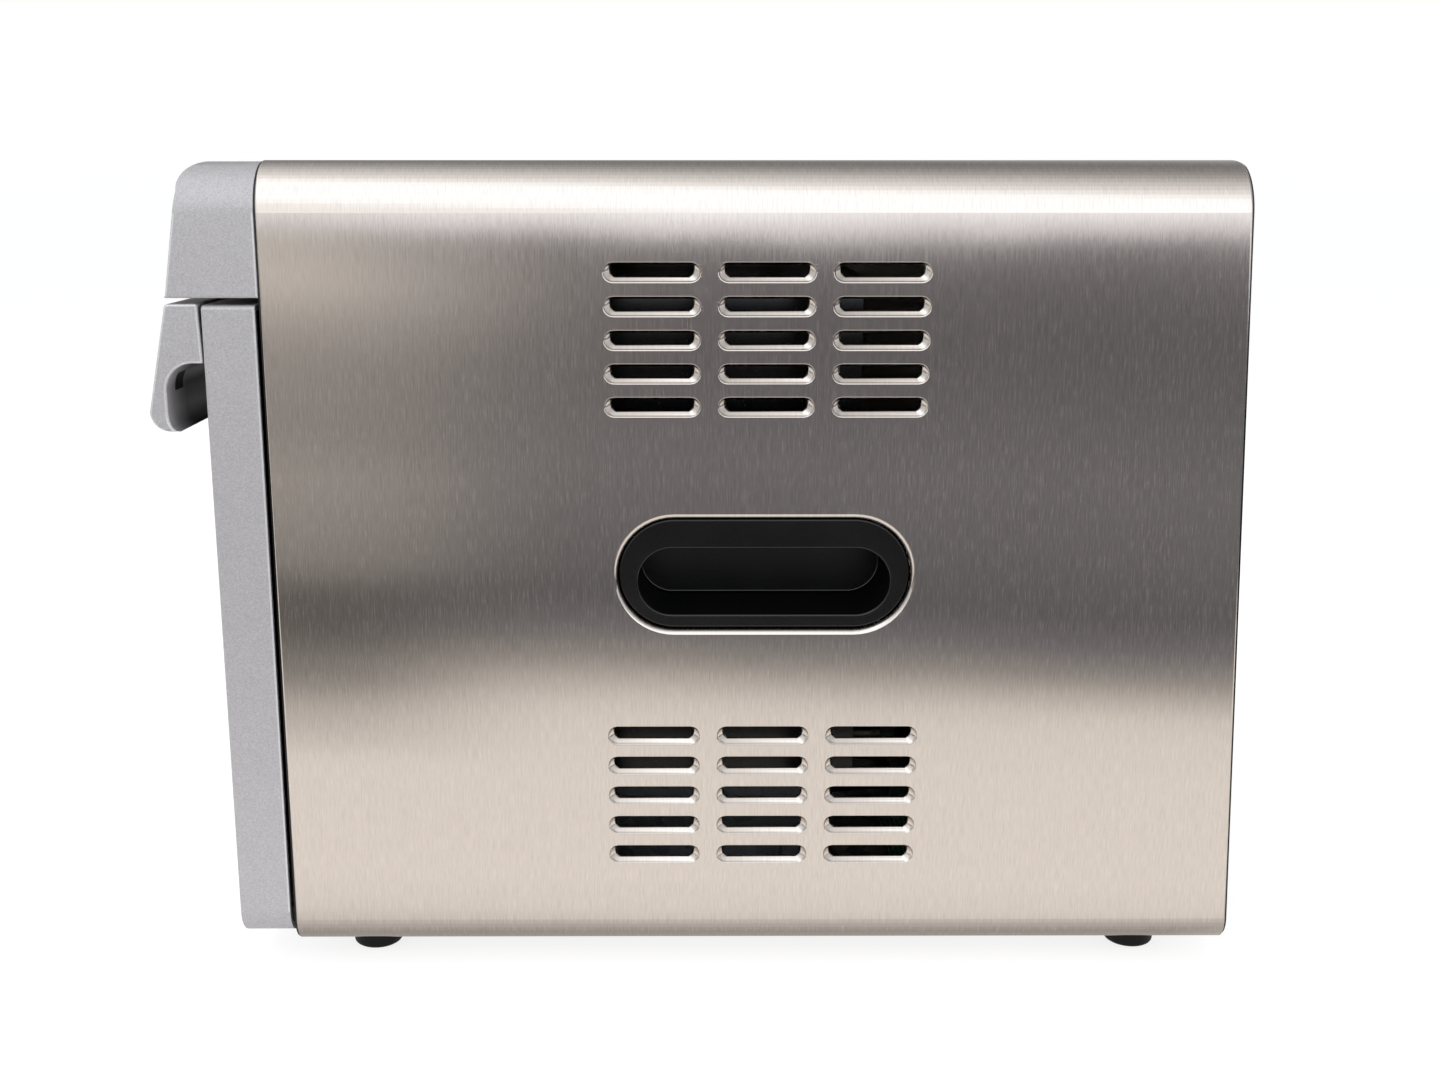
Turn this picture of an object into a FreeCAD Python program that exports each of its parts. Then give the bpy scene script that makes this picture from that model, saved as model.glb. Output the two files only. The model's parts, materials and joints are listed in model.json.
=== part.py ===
import FreeCAD, Part
import math
import os
from FreeCAD import Vector

# Front-loading bread machine.
# X runs across, Y from front (-) to back (+), Z up. Lengths are in mm, angles in degrees.
# The parts are drawn with Y = 0 on the casing's front edge and Z = 0 on the table, and
# are moved together at the end so that the origin is under the middle of the whole.

# ---- casing and base ----
CASE_WIDTH = 380.0
CASE_HEIGHT = 338.0
CASE_LENGTH = 396.0
REAR_RAKE = 12.8
SHEET = 0.8
TOP_BEND = 20.5
BOTTOM_BEND = 13.0
REAR_CORNER = 3.0
FLANGE_WIDTH = 45.0
BASE_THICKNESS = 1.2
BASE_SLOT_COUNT = 4
BASE_SLOT_FRONT = 60.0
BASE_SLOT_PITCH = 14.0
BASE_SLOT_HALF = 60.0
FOOT_HEIGHT = 11.3
FOOT_RADIUS = 11.0
FOOT_CHAMFER = 1.8
FOOT_INSET = 20.0
FOOT_FRONT = 29.6
FOOT_SPACING = 345.4

# ---- formed vents, carry recess ----
VENT_LENGTH = 39.1
VENT_HEIGHT = 8.5
VENT_PITCH_Y = 46.5
VENT_PITCH_Z = 13.6
VENT_COLUMNS = 3
VENT_ROWS = 5
VENT_CENTRE_Y = 203.9
VENT_GROUP_RISE = 97.9
VENT_DEPTH = 2.2
VENT_SLOPE = 0.9
VENT_SLOT_LENGTH = 33.0
VENT_SLOT_HEIGHT = 4.6
VENT_SLOT_CHAMFER = 1.3
VENT_SLOT_SET = 0.25
VENT_FLAT_COUNT = 2
CARRY_LENGTH = 127.0
CARRY_HEIGHT = 52.0
CARRY_ROLL = 2.0
CARRY_ROLL_DEPTH = 2.4
CARRY_FLAT_COUNT = 8
CARRY_NECK = 2.0
POCKET_LENGTH = 105.6
POCKET_HEIGHT = 28.4
POCKET_DEPTH = 38.0
POCKET_DROP = 3.5
INSERT_WALL = 2.0
INSERT_GAP = 0.6

# ---- front frame, door and hinge ----
FRAME_LIP = 0.8
FRAME_PLATE = 3.0
FRAME_DEPTH = 11.0
FRAME_RIM = 2.5
MOUTH_WIDTH = 278.0
MOUTH_BOTTOM = 66.0
MOUTH_TOP = 262.0
MOUTH_CORNER = 12.0
DOOR_GAP = 1.8
DOOR_THICKNESS = 21.8
DOOR_RISE = 4.0
DOOR_WALL = 2.5
DOOR_EDGE = 1.0
DOOR_LINER = 1.5
POST_HALF = 3.5
WINDOW_WIDTH = 230.0
WINDOW_HEIGHT = 128.0
WINDOW_RISE = 70.0
WINDOW_CORNER = 14.0
GLASS = 3.0
GLASS_LAP = 6.0
GASKET_WIDTH = 6.0
GASKET_THICKNESS = 1.4
HINGE_RISE = 5.0
HINGE_SETBACK = 6.4
HINGE_INSET = 16.0
HINGE_EAR = 2.5
HINGE_EAR_RADIUS = 4.0
HINGE_PIN_RADIUS = 2.0
HINGE_PIN_LENGTH = 16.0

# ---- handle and latch ----
HANDLE_HEIGHT = 52.0
HANDLE_TOP_GAP = 0.5
HANDLE_TOP_REACH = 15.0
HANDLE_REACH = 23.6
HANDLE_SLIT = 1.3
HANDLE_FOOT_SLIT = 0.4
HANDLE_NOSE_RADIUS = 8.0
HANDLE_TOP_RADIUS = 2.0
GRIP_HEIGHT = 28.0
GRIP_WALL = 7.6
GRIP_RADIUS = 11.0
HANDLE_WALL = 3.0
HANDLE_PIVOT_REACH = 6.0
HANDLE_PIVOT_DROP = 17.0
HANDLE_PIN_RADIUS = 1.5
HANDLE_LUG_SPACING = 240.0
HANDLE_LUG_WIDTH = 6.0
HANDLE_RIB = 5.0
TAIL_WIDTH = 8.0
TAIL_HEIGHT = 5.0
TAIL_DROP = 7.5
LATCH_PIVOT_DEPTH = 11.0
LATCH_PIVOT_DROP = 14.0
LATCH_WIDTH = 6.0
LATCH_ARM = 4.0
LATCH_BARB = 1.4
LATCH_PIN_RADIUS = 1.5
LATCH_CHEEK = 3.0
LATCH_CHEEK_WIDTH = 6.0
STRIKE_THICKNESS = 1.2

# ---- control fascia ----
FASCIA_HEIGHT = 53.7
FASCIA_DROP = 0.5
FASCIA_DEPTH = 37.7
FASCIA_LEAN_RUN = 6.9
FACE_HEIGHT = 42.2
FASCIA_NOSE = 12.0
FASCIA_WALL = 2.5
DOOR_TOP_GAP = 2.8
DISPLAY_WIDTH = 76.0
DISPLAY_HEIGHT = 26.0
DISPLAY_LENS = 1.5
DISPLAY_LEDGE = 3.0
BUTTON_WIDTH = 18.0
BUTTON_HEIGHT = 10.0
BUTTON_PITCH = 30.0
BUTTON_FIRST = 62.0
BUTTON_PROUD = 1.6
BUTTON_TRAVEL = 1.0
BUTTON_FLANGE = 2.0
BUTTON_STEM = 3.6
START_RADIUS = 10.0
SIDE_CONTROL_INSET = 48.0
BOARD_SETBACK = 15.0
BOARD_THICKNESS = 1.6

# ---- baking chamber, heater, pan ----
CHAMBER_WIDTH = 280.0
CHAMBER_DEPTH = 246.0
CHAMBER_FLOOR = 64.0
CHAMBER_TOP = 300.0
CHAMBER_CORNER = 10.0
PAN_CENTRE_Y = 125.0
PAN_LENGTH = 216.0
PAN_WIDTH = 124.0
PAN_HEIGHT = 122.0
PAN_RISE = 20.0
PAN_WALL = 1.6
PAN_TAPER = 9.0
PAN_CORNER = 30.0
PAN_FLAT_COUNT = 6
PAN_RIM = 3.0
SKIRT_RADIUS = 46.0
SKIRT_WALL = 2.0
SEAT_HEIGHT = 13.0
SEAT_WALL = 2.0
BAIL_REACH = 72.0
BAIL_STRIP = 2.0
BAIL_HEIGHT = 9.0
STUD_RADIUS = 2.5
BAIL_CORNER = 16.0
BAIL_DROP = 9.5
SENSOR_SETBACK = 60.0
SENSOR_RADIUS = 2.5
HEATER_RADIUS = 3.25
HEATER_RISE = 24.0
HEATER_LENGTH = 250.0
HEATER_WIDTH = 176.0
HEATER_BEND = 24.0

# ---- kneading drive ----
SHAFT_RADIUS = 5.0
BUSH_RADIUS = 8.0
BUSH_REACH = 3.0
HOUSING_RADIUS = 14.0
HOUSING_LENGTH = 26.0
HOUSING_PLATE = 18.0
COUPLING_RADIUS = 16.0
DOG_HEIGHT = 5.5
PULLEY_RADIUS = 52.0
PULLEY_FLANGE = 2.0
PULLEY_HEIGHT = 10.0
PULLEY_WEB = 4.0
PULLEY_RISE = 18.0
MOTOR_PULLEY_RADIUS = 11.0
BELT_WIDTH = 7.0
BELT_THICKNESS = 2.0
MOTOR_CENTRE_Y = 318.0
MOTOR_RADIUS = 31.0
MOTOR_HEIGHT = 84.0
MOTOR_SHAFT_RADIUS = 3.0
MOTOR_MOUNT_RISE = 38.0
PADDLE_LENGTH = 42.0
PADDLE_HEIGHT = 34.0
PADDLE_THICKNESS = 5.0
PADDLE_HUB = 24.0

# ---- rear ----
REAR_PANEL = 2.5
REAR_SLAB_REACH = 60.0
REAR_VENT_INSET = 30.0
REAR_VENT_RISE = 40.0
REAR_PROUD = 1.0
REAR_VENT_COUNT = 9
REAR_VENT_PITCH = 14.0
REAR_VENT_LENGTH = 46.0
REAR_SCREW_LOW = 41.0
REAR_SCREW_HIGH = 289.0
SCREW_HEAD_RADIUS = 4.3
SCREW_HEAD_HEIGHT = 2.4
SCREW_RADIUS = 2.0
INLET_WIDTH = 27.0
INLET_HEIGHT = 20.0
INLET_DEPTH = 24.0
INLET_FLANGE = 3.0
INLET_WALL = 1.6
INLET_X = 105.0
INLET_RISE = 44.0

# ---- named clearances ----
RUNNING = 0.05
BODY_GAP = 0.3
SEAT_GAP = 0.1

half_width = CASE_WIDTH / 2
side_control_x = half_width - SIDE_CONTROL_INSET
case_bottom = FOOT_HEIGHT
case_top = case_bottom + CASE_HEIGHT
case_middle = (case_bottom + case_top) / 2
base_top = case_bottom + SHEET + BASE_THICKNESS
rake_angle = math.degrees(math.atan(REAR_RAKE / CASE_HEIGHT))
frame_back = FRAME_PLATE - FRAME_LIP
fascia_back = -FRAME_LIP - SEAT_GAP
fascia_front = fascia_back - FASCIA_DEPTH
fascia_top = case_top - FASCIA_DROP
fascia_bottom = fascia_top - FASCIA_HEIGHT
face_lean = math.degrees(math.atan(FASCIA_LEAN_RUN / FACE_HEIGHT))
door_back = -FRAME_LIP - DOOR_GAP
door_front = door_back - DOOR_THICKNESS
door_bottom = case_bottom + DOOR_RISE
door_top = fascia_bottom - DOOR_TOP_GAP
hinge_y = door_back - HINGE_SETBACK
hinge_z = door_bottom + HINGE_RISE
hinge_x = half_width - HINGE_INSET
handle_top = door_top + HANDLE_TOP_GAP
handle_bottom = handle_top - HANDLE_HEIGHT
handle_pivot_y = door_front - HANDLE_PIVOT_REACH
handle_pivot_z = handle_top - HANDLE_PIVOT_DROP
latch_y = door_back - LATCH_PIVOT_DEPTH
latch_z = door_top - LATCH_PIVOT_DROP
latch_low = LATCH_ARM / 2 + LATCH_BARB + 1.0
latch_pin_half = LATCH_WIDTH / 2 + 2 * BODY_GAP + LATCH_CHEEK_WIDTH
chamber_front = frame_back
chamber_back = chamber_front + CHAMBER_DEPTH
sensor_y = chamber_front + SENSOR_SETBACK
sensor_z = (CHAMBER_FLOOR + CHAMBER_TOP) / 2
pan_bottom = CHAMBER_FLOOR + PAN_RISE
pan_top = pan_bottom + PAN_HEIGHT
bail_z = pan_top - BAIL_DROP
bail_half_span = PAN_LENGTH / 2 + PAN_RIM + 2 * BODY_GAP
bail_tip = bail_half_span + BAIL_STRIP + 1.5
carry_z = case_middle
pulley_top = PULLEY_RISE + PULLEY_HEIGHT
drive_top = CHAMBER_FLOOR + 6.0
mesh_top = drive_top + DOG_HEIGHT
motor_bottom = MOTOR_MOUNT_RISE + 2.0
motor_shaft_top = motor_bottom + MOTOR_HEIGHT - 10
paddle_low = pan_bottom + PAN_WALL + BUSH_REACH + BODY_GAP


# ---- shape helpers ----
def box(x0, x1, y0, y1, z0, z1):
    return Part.makeBox(x1 - x0, y1 - y0, z1 - z0, Vector(x0, y0, z0))


def rod_x(radius, x0, x1, y, z):
    return Part.makeCylinder(radius, x1 - x0, Vector(x0, y, z), Vector(1, 0, 0))


def rod_y(radius, y0, y1, x, z):
    return Part.makeCylinder(radius, y1 - y0, Vector(x, y0, z), Vector(0, 1, 0))


def rod_z(radius, z0, z1, x=0.0, y=PAN_CENTRE_Y):
    return Part.makeCylinder(radius, z1 - z0, Vector(x, y, z0))


def revolved(profile, x, y):
    """A solid of revolution about the vertical at x, y from (radius, height) points."""
    points = [Vector(x + r, y, z) for r, z in profile]
    face = Part.Face(Part.makePolygon(points + [points[0]]))
    return face.revolve(Vector(x, y, 0), Vector(0, 0, 1), 360)


def merged(first, *others):
    """One clean solid from shapes that touch or overlap."""
    return first.fuse(list(others)).removeSplitter()


def rounded_outline(x0, x1, z0, z1, low_radius, high_radius, y):
    """A rectangle in the plane at y, with one radius for each end of its height."""
    lr = low_radius
    hr = high_radius
    k = math.sqrt(0.5)

    def at(x, z):
        return Vector(x, y, z)

    low = z0 + lr
    high = z1 - hr
    low_arc = lr - k * lr
    high_arc = hr - k * hr
    edges = [
        Part.LineSegment(at(x0 + lr, z0), at(x1 - lr, z0)),
        Part.Arc(at(x1 - lr, z0), at(x1 - low_arc, z0 + low_arc), at(x1, low)),
        Part.LineSegment(at(x1, low), at(x1, high)),
        Part.Arc(at(x1, high), at(x1 - high_arc, z1 - high_arc), at(x1 - hr, z1)),
        Part.LineSegment(at(x1 - hr, z1), at(x0 + hr, z1)),
        Part.Arc(at(x0 + hr, z1), at(x0 + high_arc, z1 - high_arc), at(x0, high)),
        Part.LineSegment(at(x0, high), at(x0, low)),
        Part.Arc(at(x0, low), at(x0 + low_arc, z0 + low_arc), at(x0 + lr, z0)),
    ]
    return Part.Face(Part.Wire([edge.toShape() for edge in edges]))


def rounded_slab(x0, x1, y0, y1, z0, z1, low_radius, high_radius):
    """A slab between y0 and y1 whose front view is a rounded rectangle."""
    return rounded_outline(x0, x1, z0, z1, low_radius, high_radius, y0).extrude(Vector(0, y1 - y0, 0))


def side_prism(points, x0, x1):
    """A prism along X from (y, z) points."""
    corners = [Vector(x0, y, z) for y, z in points]
    face = Part.Face(Part.makePolygon(corners + [corners[0]]))
    return face.extrude(Vector(x1 - x0, 0, 0))


def filleted(shape, radius, wanted):
    """The shape with the edges that wanted() picks rounded."""
    return shape.makeFillet(radius, [edge for edge in shape.Edges if wanted(edge)])


def edge_box_is(edge, **limits):
    """True where the edge's box matches limits such as YMin=3.0 to 0.01 mm."""
    return all(abs(getattr(edge.BoundBox, name) - value) < 0.01 for name, value in limits.items())


def ring_points(half_x, half_y, radius, flats, z):
    """A rectangle's corners as points at z, each corner rounded by that many short flats."""
    points = []
    centres = ((half_x, half_y), (-half_x, half_y), (-half_x, -half_y), (half_x, -half_y))
    for quarter, (x, y) in enumerate(centres):
        for step in range(flats + 1):
            angle = math.radians(90 * (quarter + step / flats))
            point = Vector(x + radius * math.cos(angle), y + radius * math.sin(angle), z)
            if not points or (point - points[-1]).Length > 1e-6:
                points.append(point)
    if (points[0] - points[-1]).Length < 1e-6:
        points.pop()
    return points


def drafted_block(half_x, half_y, low_radius, high_radius, flats, z0, z1):
    """A block about the Z axis whose corners grow from one radius to the other."""
    wires = []
    for radius, z in ((low_radius, z0), (high_radius, z1)):
        points = ring_points(half_x, half_y, radius, flats, z)
        wires.append(Part.makePolygon(points + [points[0]]))
    return Part.makeLoft(wires, True, True)


def long_round(length, width, z0, z1):
    """A block about the Z axis with half-round ends."""
    x = (length - width) / 2
    bar = box(-x, x, -width / 2, width / 2, z0, z1)
    ends = [Part.makeCylinder(width / 2, z1 - z0, Vector(end, 0, z0)) for end in (-x, x)]
    return merged(bar, *ends)


def on_side(shape, y, z, side):
    """Stands a shape drawn about the Z axis on the casing's side, its +Z pointing out."""
    turned = shape.copy()
    turned.rotate(Vector(0, 0, 0), Vector(0, 0, 1), 90 * side)
    turned.rotate(Vector(0, 0, 0), Vector(0, 1, 0), 90 * side)
    turned.translate(Vector(side * half_width, y, z))
    return turned


def rear_edge(z):
    return CASE_LENGTH + REAR_RAKE * (case_top - z) / CASE_HEIGHT


def raked_slab(inner, outer, z0=case_bottom, z1=case_top):
    """The layer between two offsets from the casing's raked rear edge."""
    points = [
        (rear_edge(z0) + inner, z0),
        (rear_edge(z0) + outer, z0),
        (rear_edge(z1) + outer, z1),
        (rear_edge(z1) + inner, z1),
    ]
    return side_prism(points, -half_width, half_width)


def on_rear(shape, x, z):
    """Stands a shape drawn about the Y axis on the rear panel's face, its +Y pointing out."""
    turned = shape.copy()
    turned.rotate(Vector(0, 0, 0), Vector(1, 0, 0), rake_angle)
    turned.translate(Vector(x, rear_edge(z) + REAR_PROUD, z))
    return turned


def on_face(shape, x):
    """Stands a shape drawn about the Y axis on the leaning control face, its -Y pointing out."""
    turned = shape.copy()
    turned.rotate(Vector(0, 0, 0), Vector(1, 0, 0), -face_lean)
    turned.translate(Vector(x, fascia_front + FASCIA_LEAN_RUN / 2, fascia_bottom + FACE_HEIGHT / 2))
    return turned


# ---- casing ----
def vent_shapes():
    """One formed vent: the metal behind it, and the pressed dish with the slot through its floor."""
    span = (VENT_LENGTH - VENT_HEIGHT) / 2
    mouth_radius = VENT_HEIGHT / 2
    floor_radius = mouth_radius - VENT_SLOPE
    dish = drafted_block(span, 0.0, floor_radius, mouth_radius, VENT_FLAT_COUNT, -VENT_DEPTH, 0.0)
    low = [Vector(x, y, -VENT_DEPTH - SHEET) for x, y in corners_of(span + floor_radius, floor_radius)]
    high = [Vector(x, y, -SHEET / 2) for x, y in corners_of(span + mouth_radius, mouth_radius)]
    back = Part.makeLoft([Part.makePolygon(low + [low[0]]), Part.makePolygon(high + [high[0]])], True, True)
    x = VENT_SLOT_LENGTH / 2
    top = floor_radius - VENT_SLOT_SET
    bottom = top - VENT_SLOT_HEIGHT
    cut = VENT_SLOT_CHAMFER
    right = [(x, top), (x, bottom + cut), (x - cut, bottom)]
    outline = right + [(-u, v) for u, v in reversed(right)]
    points = [Vector(u, v, -VENT_DEPTH - 2 * SHEET) for u, v in outline]
    slot = Part.Face(Part.makePolygon(points + [points[0]])).extrude(Vector(0, 0, 2 * SHEET + VENT_DEPTH / 2))
    return back, merged(dish, slot)


def corners_of(half_x, half_y):
    return [(-half_x, -half_y), (half_x, -half_y), (half_x, half_y), (-half_x, half_y)]


def vent_places():
    for group in (-1, 1):
        for row in range(VENT_ROWS):
            for column in range(VENT_COLUMNS):
                y = VENT_CENTRE_Y + (column - (VENT_COLUMNS - 1) / 2) * VENT_PITCH_Y
                z = case_middle + group * VENT_GROUP_RISE + (row - (VENT_ROWS - 1) / 2) * VENT_PITCH_Z
                yield y, z


def foot_places():
    x = half_width - FOOT_INSET - FOOT_RADIUS
    for y in (FOOT_FRONT, FOOT_FRONT + FOOT_SPACING):
        for side in (-1, 1):
            yield side * x, y


def rear_screw_places():
    edge_x = half_width - SHEET - SCREW_HEAD_RADIUS - 4
    for side in (-1, 1):
        yield side * edge_x, case_bottom + REAR_SCREW_LOW
        yield side * edge_x, case_bottom + REAR_SCREW_HIGH


def case_side_profile(rear_offset):
    points = [
        (0, case_bottom),
        (rear_edge(case_bottom) + rear_offset, case_bottom),
        (rear_edge(case_top) + rear_offset, case_top),
        (0, case_top),
    ]
    prism = side_prism(points, -half_width, half_width)
    rear_y = rear_edge(case_top) + rear_offset
    return filleted(
        prism,
        REAR_CORNER,
        lambda e: edge_box_is(e, YMin=rear_y, YMax=rear_y, ZMin=case_top, ZMax=case_top),
    )


def make_casing():
    reach = CASE_LENGTH + REAR_RAKE
    outer = rounded_slab(-half_width, half_width, 0, reach, case_bottom, case_top, BOTTOM_BEND, TOP_BEND)
    inner = rounded_slab(
        -half_width + SHEET,
        half_width - SHEET,
        -1,
        reach + 1,
        case_bottom + SHEET,
        case_top - SHEET,
        BOTTOM_BEND - SHEET,
        TOP_BEND - SHEET,
    )
    shell = outer.cut(inner)
    open_x = half_width - FLANGE_WIDTH
    shell = shell.cut(box(-open_x, open_x, -1, reach + 1, case_bottom - 1, case_bottom + 2 * SHEET))
    shell = shell.common(case_side_profile(0))
    tabs = []
    for x, z in rear_screw_places():
        tab_half = half_width - SHEET / 2 - abs(x)
        tab = box(x - tab_half, x + tab_half, rear_edge(z) - 20, rear_edge(z), z - 6, z + 6)
        tabs.append(tab.common(raked_slab(REAR_PROUD - REAR_PANEL - SHEET, REAR_PROUD - REAR_PANEL)))
    back, opening = vent_shapes()
    backs = []
    openings = []
    for side in (-1, 1):
        for y, z in vent_places():
            backs.append(on_side(back, y, z, side))
            openings.append(on_side(opening, y, z, side))
        backs.append(on_side(carry_rim(SHEET), VENT_CENTRE_Y, carry_z, side))
        openings.append(on_side(carry_rim(0.0), VENT_CENTRE_Y, carry_z, side))
    shell = shell.fuse(backs + tabs).cut(openings)
    holes = [on_rear(rod_y(SCREW_RADIUS, -14, 1, 0, 0), x, z) for x, z in rear_screw_places()]
    return shell.cut(holes)


def carry_rim(wall):
    """The recess hole with its rolled edge (wall = 0), or the metal round it."""
    span = (CARRY_LENGTH - CARRY_HEIGHT) / 2
    outer = CARRY_HEIGHT / 2 + wall
    throat = outer - CARRY_ROLL
    top = -wall / 2
    neck_end = -CARRY_ROLL_DEPTH - CARRY_NECK
    if wall == 0:
        neck_end -= SHEET
    roll = drafted_block(span, 0.0, throat, outer, CARRY_FLAT_COUNT, -CARRY_ROLL_DEPTH, top)
    neck = drafted_block(span, 0.0, throat, throat, CARRY_FLAT_COUNT, neck_end, -CARRY_ROLL_DEPTH)
    return merged(roll, neck)


def make_carry_insert(side):
    """Moulded finger pocket that fills the hole in one side of the casing."""
    fit = 2 * (CARRY_ROLL + INSERT_GAP)
    face = -CARRY_ROLL_DEPTH
    back = face - CARRY_NECK - INSERT_WALL
    plate = long_round(CARRY_LENGTH - fit, CARRY_HEIGHT - fit, back, face)
    floor = face - POCKET_DEPTH
    wall = 2 * INSERT_WALL
    walls = long_round(POCKET_LENGTH + wall, POCKET_HEIGHT + wall, floor - INSERT_WALL, back + INSERT_WALL)
    hollow = long_round(POCKET_LENGTH, POCKET_HEIGHT, floor, 1.0)
    for shape in (walls, hollow):
        shape.translate(Vector(0, -POCKET_DROP, 0))
    return on_side(merged(plate, walls).cut(hollow), VENT_CENTRE_Y, carry_z, side)


# ---- base, feet, rear ----
def make_base_plate():
    x = half_width - BOTTOM_BEND
    back = rear_edge(base_top) + REAR_PROUD - REAR_PANEL - SEAT_GAP
    plate = box(-x, x, FRAME_DEPTH + 1, back, case_bottom + SHEET, base_top)
    slots = []
    for i in range(BASE_SLOT_COUNT):
        y = BASE_SLOT_FRONT + i * BASE_SLOT_PITCH
        slots.append(box(-BASE_SLOT_HALF, BASE_SLOT_HALF, y - 2, y + 2, case_bottom, base_top + 1))
    return plate.cut(slots)


def make_foot(x, y):
    """Moulded foot, a short plug with a chamfered tread."""
    chamfer = FOOT_CHAMFER
    profile = [
        (0, 0),
        (FOOT_RADIUS - chamfer, 0),
        (FOOT_RADIUS, chamfer),
        (FOOT_RADIUS, FOOT_HEIGHT),
        (0, FOOT_HEIGHT),
    ]
    return revolved(profile, x, y)


def rear_slab(inset):
    edge = SHEET + SEAT_GAP + inset
    x = half_width - edge
    low = case_bottom + SHEET + SEAT_GAP + inset
    y0 = CASE_LENGTH - REAR_SLAB_REACH
    y1 = CASE_LENGTH + REAR_SLAB_REACH
    return rounded_slab(-x, x, y0, y1, low, case_top - edge, BOTTOM_BEND - edge, TOP_BEND - edge)


def make_rear_panel():
    panel = rear_slab(0.0).common(raked_slab(REAR_PROUD - REAR_PANEL, REAR_PROUD))
    lip = rear_slab(0.0).cut(rear_slab(REAR_PANEL)).common(raked_slab(-3 * REAR_CORNER, 0))
    lip = lip.common(box(-half_width, half_width, 0, 2 * CASE_LENGTH, case_top - TOP_BEND, case_top))
    panel = merged(panel, lip).common(case_side_profile(REAR_PROUD))
    cuts = []
    for group in (-1, 1):
        for i in range(REAR_VENT_COUNT):
            x = group * (REAR_VENT_INSET + REAR_VENT_LENGTH)
            z = case_middle + REAR_VENT_RISE + (i - (REAR_VENT_COUNT - 1) / 2) * REAR_VENT_PITCH
            half = REAR_VENT_LENGTH / 2
            cuts.append(on_rear(box(-half, half, -9, 2, -2, 2), x, z))
    inlet = box(-INLET_WIDTH / 2, INLET_WIDTH / 2, -9, 2, -INLET_HEIGHT / 2, INLET_HEIGHT / 2)
    cuts.append(on_rear(inlet, INLET_X, case_bottom + INLET_RISE))
    for x, z in rear_screw_places():
        cuts.append(on_rear(rod_y(SCREW_RADIUS + 0.1, -9, 2, 0, 0), x, z))
    return panel.cut(cuts)


def domed_screw(length):
    """A dome-headed screw about the Y axis, its head's underside at y = 0."""
    sphere_radius = (SCREW_HEAD_RADIUS**2 + SCREW_HEAD_HEIGHT**2) / (2 * SCREW_HEAD_HEIGHT)
    dome = Part.makeSphere(sphere_radius, Vector(0, SCREW_HEAD_HEIGHT - sphere_radius, 0))
    dome = dome.common(rod_y(SCREW_HEAD_RADIUS, 0, SCREW_HEAD_HEIGHT + 1, 0, 0))
    return merged(dome, rod_y(SCREW_RADIUS, -length, 0.5, 0, 0))


def make_rear_screws():
    return Part.makeCompound([on_rear(domed_screw(8.0), x, z) for x, z in rear_screw_places()])


def make_inlet():
    """Snap-in appliance inlet with three flat pins, open to the rear."""

    def block(grow, y0, y1):
        x = INLET_WIDTH / 2 + grow
        z = INLET_HEIGHT / 2 + grow
        return box(-x, x, y0, y1, -z, z)

    flange = block(INLET_FLANGE, 0, 1.8)
    body = block(-SEAT_GAP, -INLET_DEPTH, 0.5)
    cavity = block(-INLET_WALL, -INLET_DEPTH + 5, 3)
    shell = merged(flange, body).cut(cavity)
    pins = [
        box(x - 1, x + 1, -INLET_DEPTH - 6, -4, z - 2, z + 2)
        for x, z in ((-7, -2), (0, 2), (7, -2))
    ]
    return on_rear(merged(shell, *pins), INLET_X, case_bottom + INLET_RISE)


# ---- front frame and hinge brackets ----
def mouth(y0, y1, grow=0.0):
    x = MOUTH_WIDTH / 2 + grow
    radius = MOUTH_CORNER + grow
    return rounded_slab(-x, x, y0, y1, MOUTH_BOTTOM - grow, MOUTH_TOP + grow, radius, radius)


def ear_slot(side, gap):
    """The slot for a hinge bracket's ear, wider than the ear by the gap."""
    x = side * hinge_x
    half = HINGE_EAR / 2 + gap
    low = hinge_z - HINGE_EAR_RADIUS - gap
    high = hinge_z + HINGE_EAR_RADIUS + gap
    return box(x - half, x + half, -FRAME_LIP - 1, frame_back + 1, low, high)


def latch_slot(y0, y1, extra=0.0):
    half = LATCH_WIDTH / 2 + 0.6 + extra
    return box(-half, half, y0, y1, latch_z - latch_low - extra, latch_z + LATCH_ARM / 2 + 0.4 + extra)


def make_front_frame():
    """Moulded frame that fills the casing's mouth; its lip laps the sheet's front edge."""
    x = half_width - BODY_GAP
    low = case_bottom + BODY_GAP
    high = case_top - BODY_GAP
    lip = rounded_slab(-x, x, -FRAME_LIP, 0, low, high, BOTTOM_BEND, TOP_BEND)
    inset = SHEET + SEAT_GAP
    x = half_width - inset
    low = case_bottom + inset
    high = case_top - inset
    plug = rounded_slab(-x, x, 0, FRAME_DEPTH, low, high, BOTTOM_BEND - inset, TOP_BEND - inset)
    wall = inset + FRAME_RIM
    x = half_width - wall
    low = case_bottom + wall
    high = case_top - wall
    core = rounded_slab(-x, x, frame_back, FRAME_DEPTH + 1, low, high, BOTTOM_BEND - wall, TOP_BEND - wall)
    frame = merged(lip, plug).cut(core)
    cable_x = half_width - 3 * TOP_BEND
    cable_low = fascia_bottom + 2 * FASCIA_WALL
    cable_high = fascia_top - FASCIA_NOSE
    cable_window = rounded_slab(-cable_x, cable_x, -2, frame_back + 1, cable_low, cable_high, 6, 6)
    slots = [ear_slot(side, BODY_GAP) for side in (-1, 1)]
    return frame.cut([mouth(-2, frame_back + 1), cable_window, latch_slot(-2, frame_back + 1)] + slots)


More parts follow.
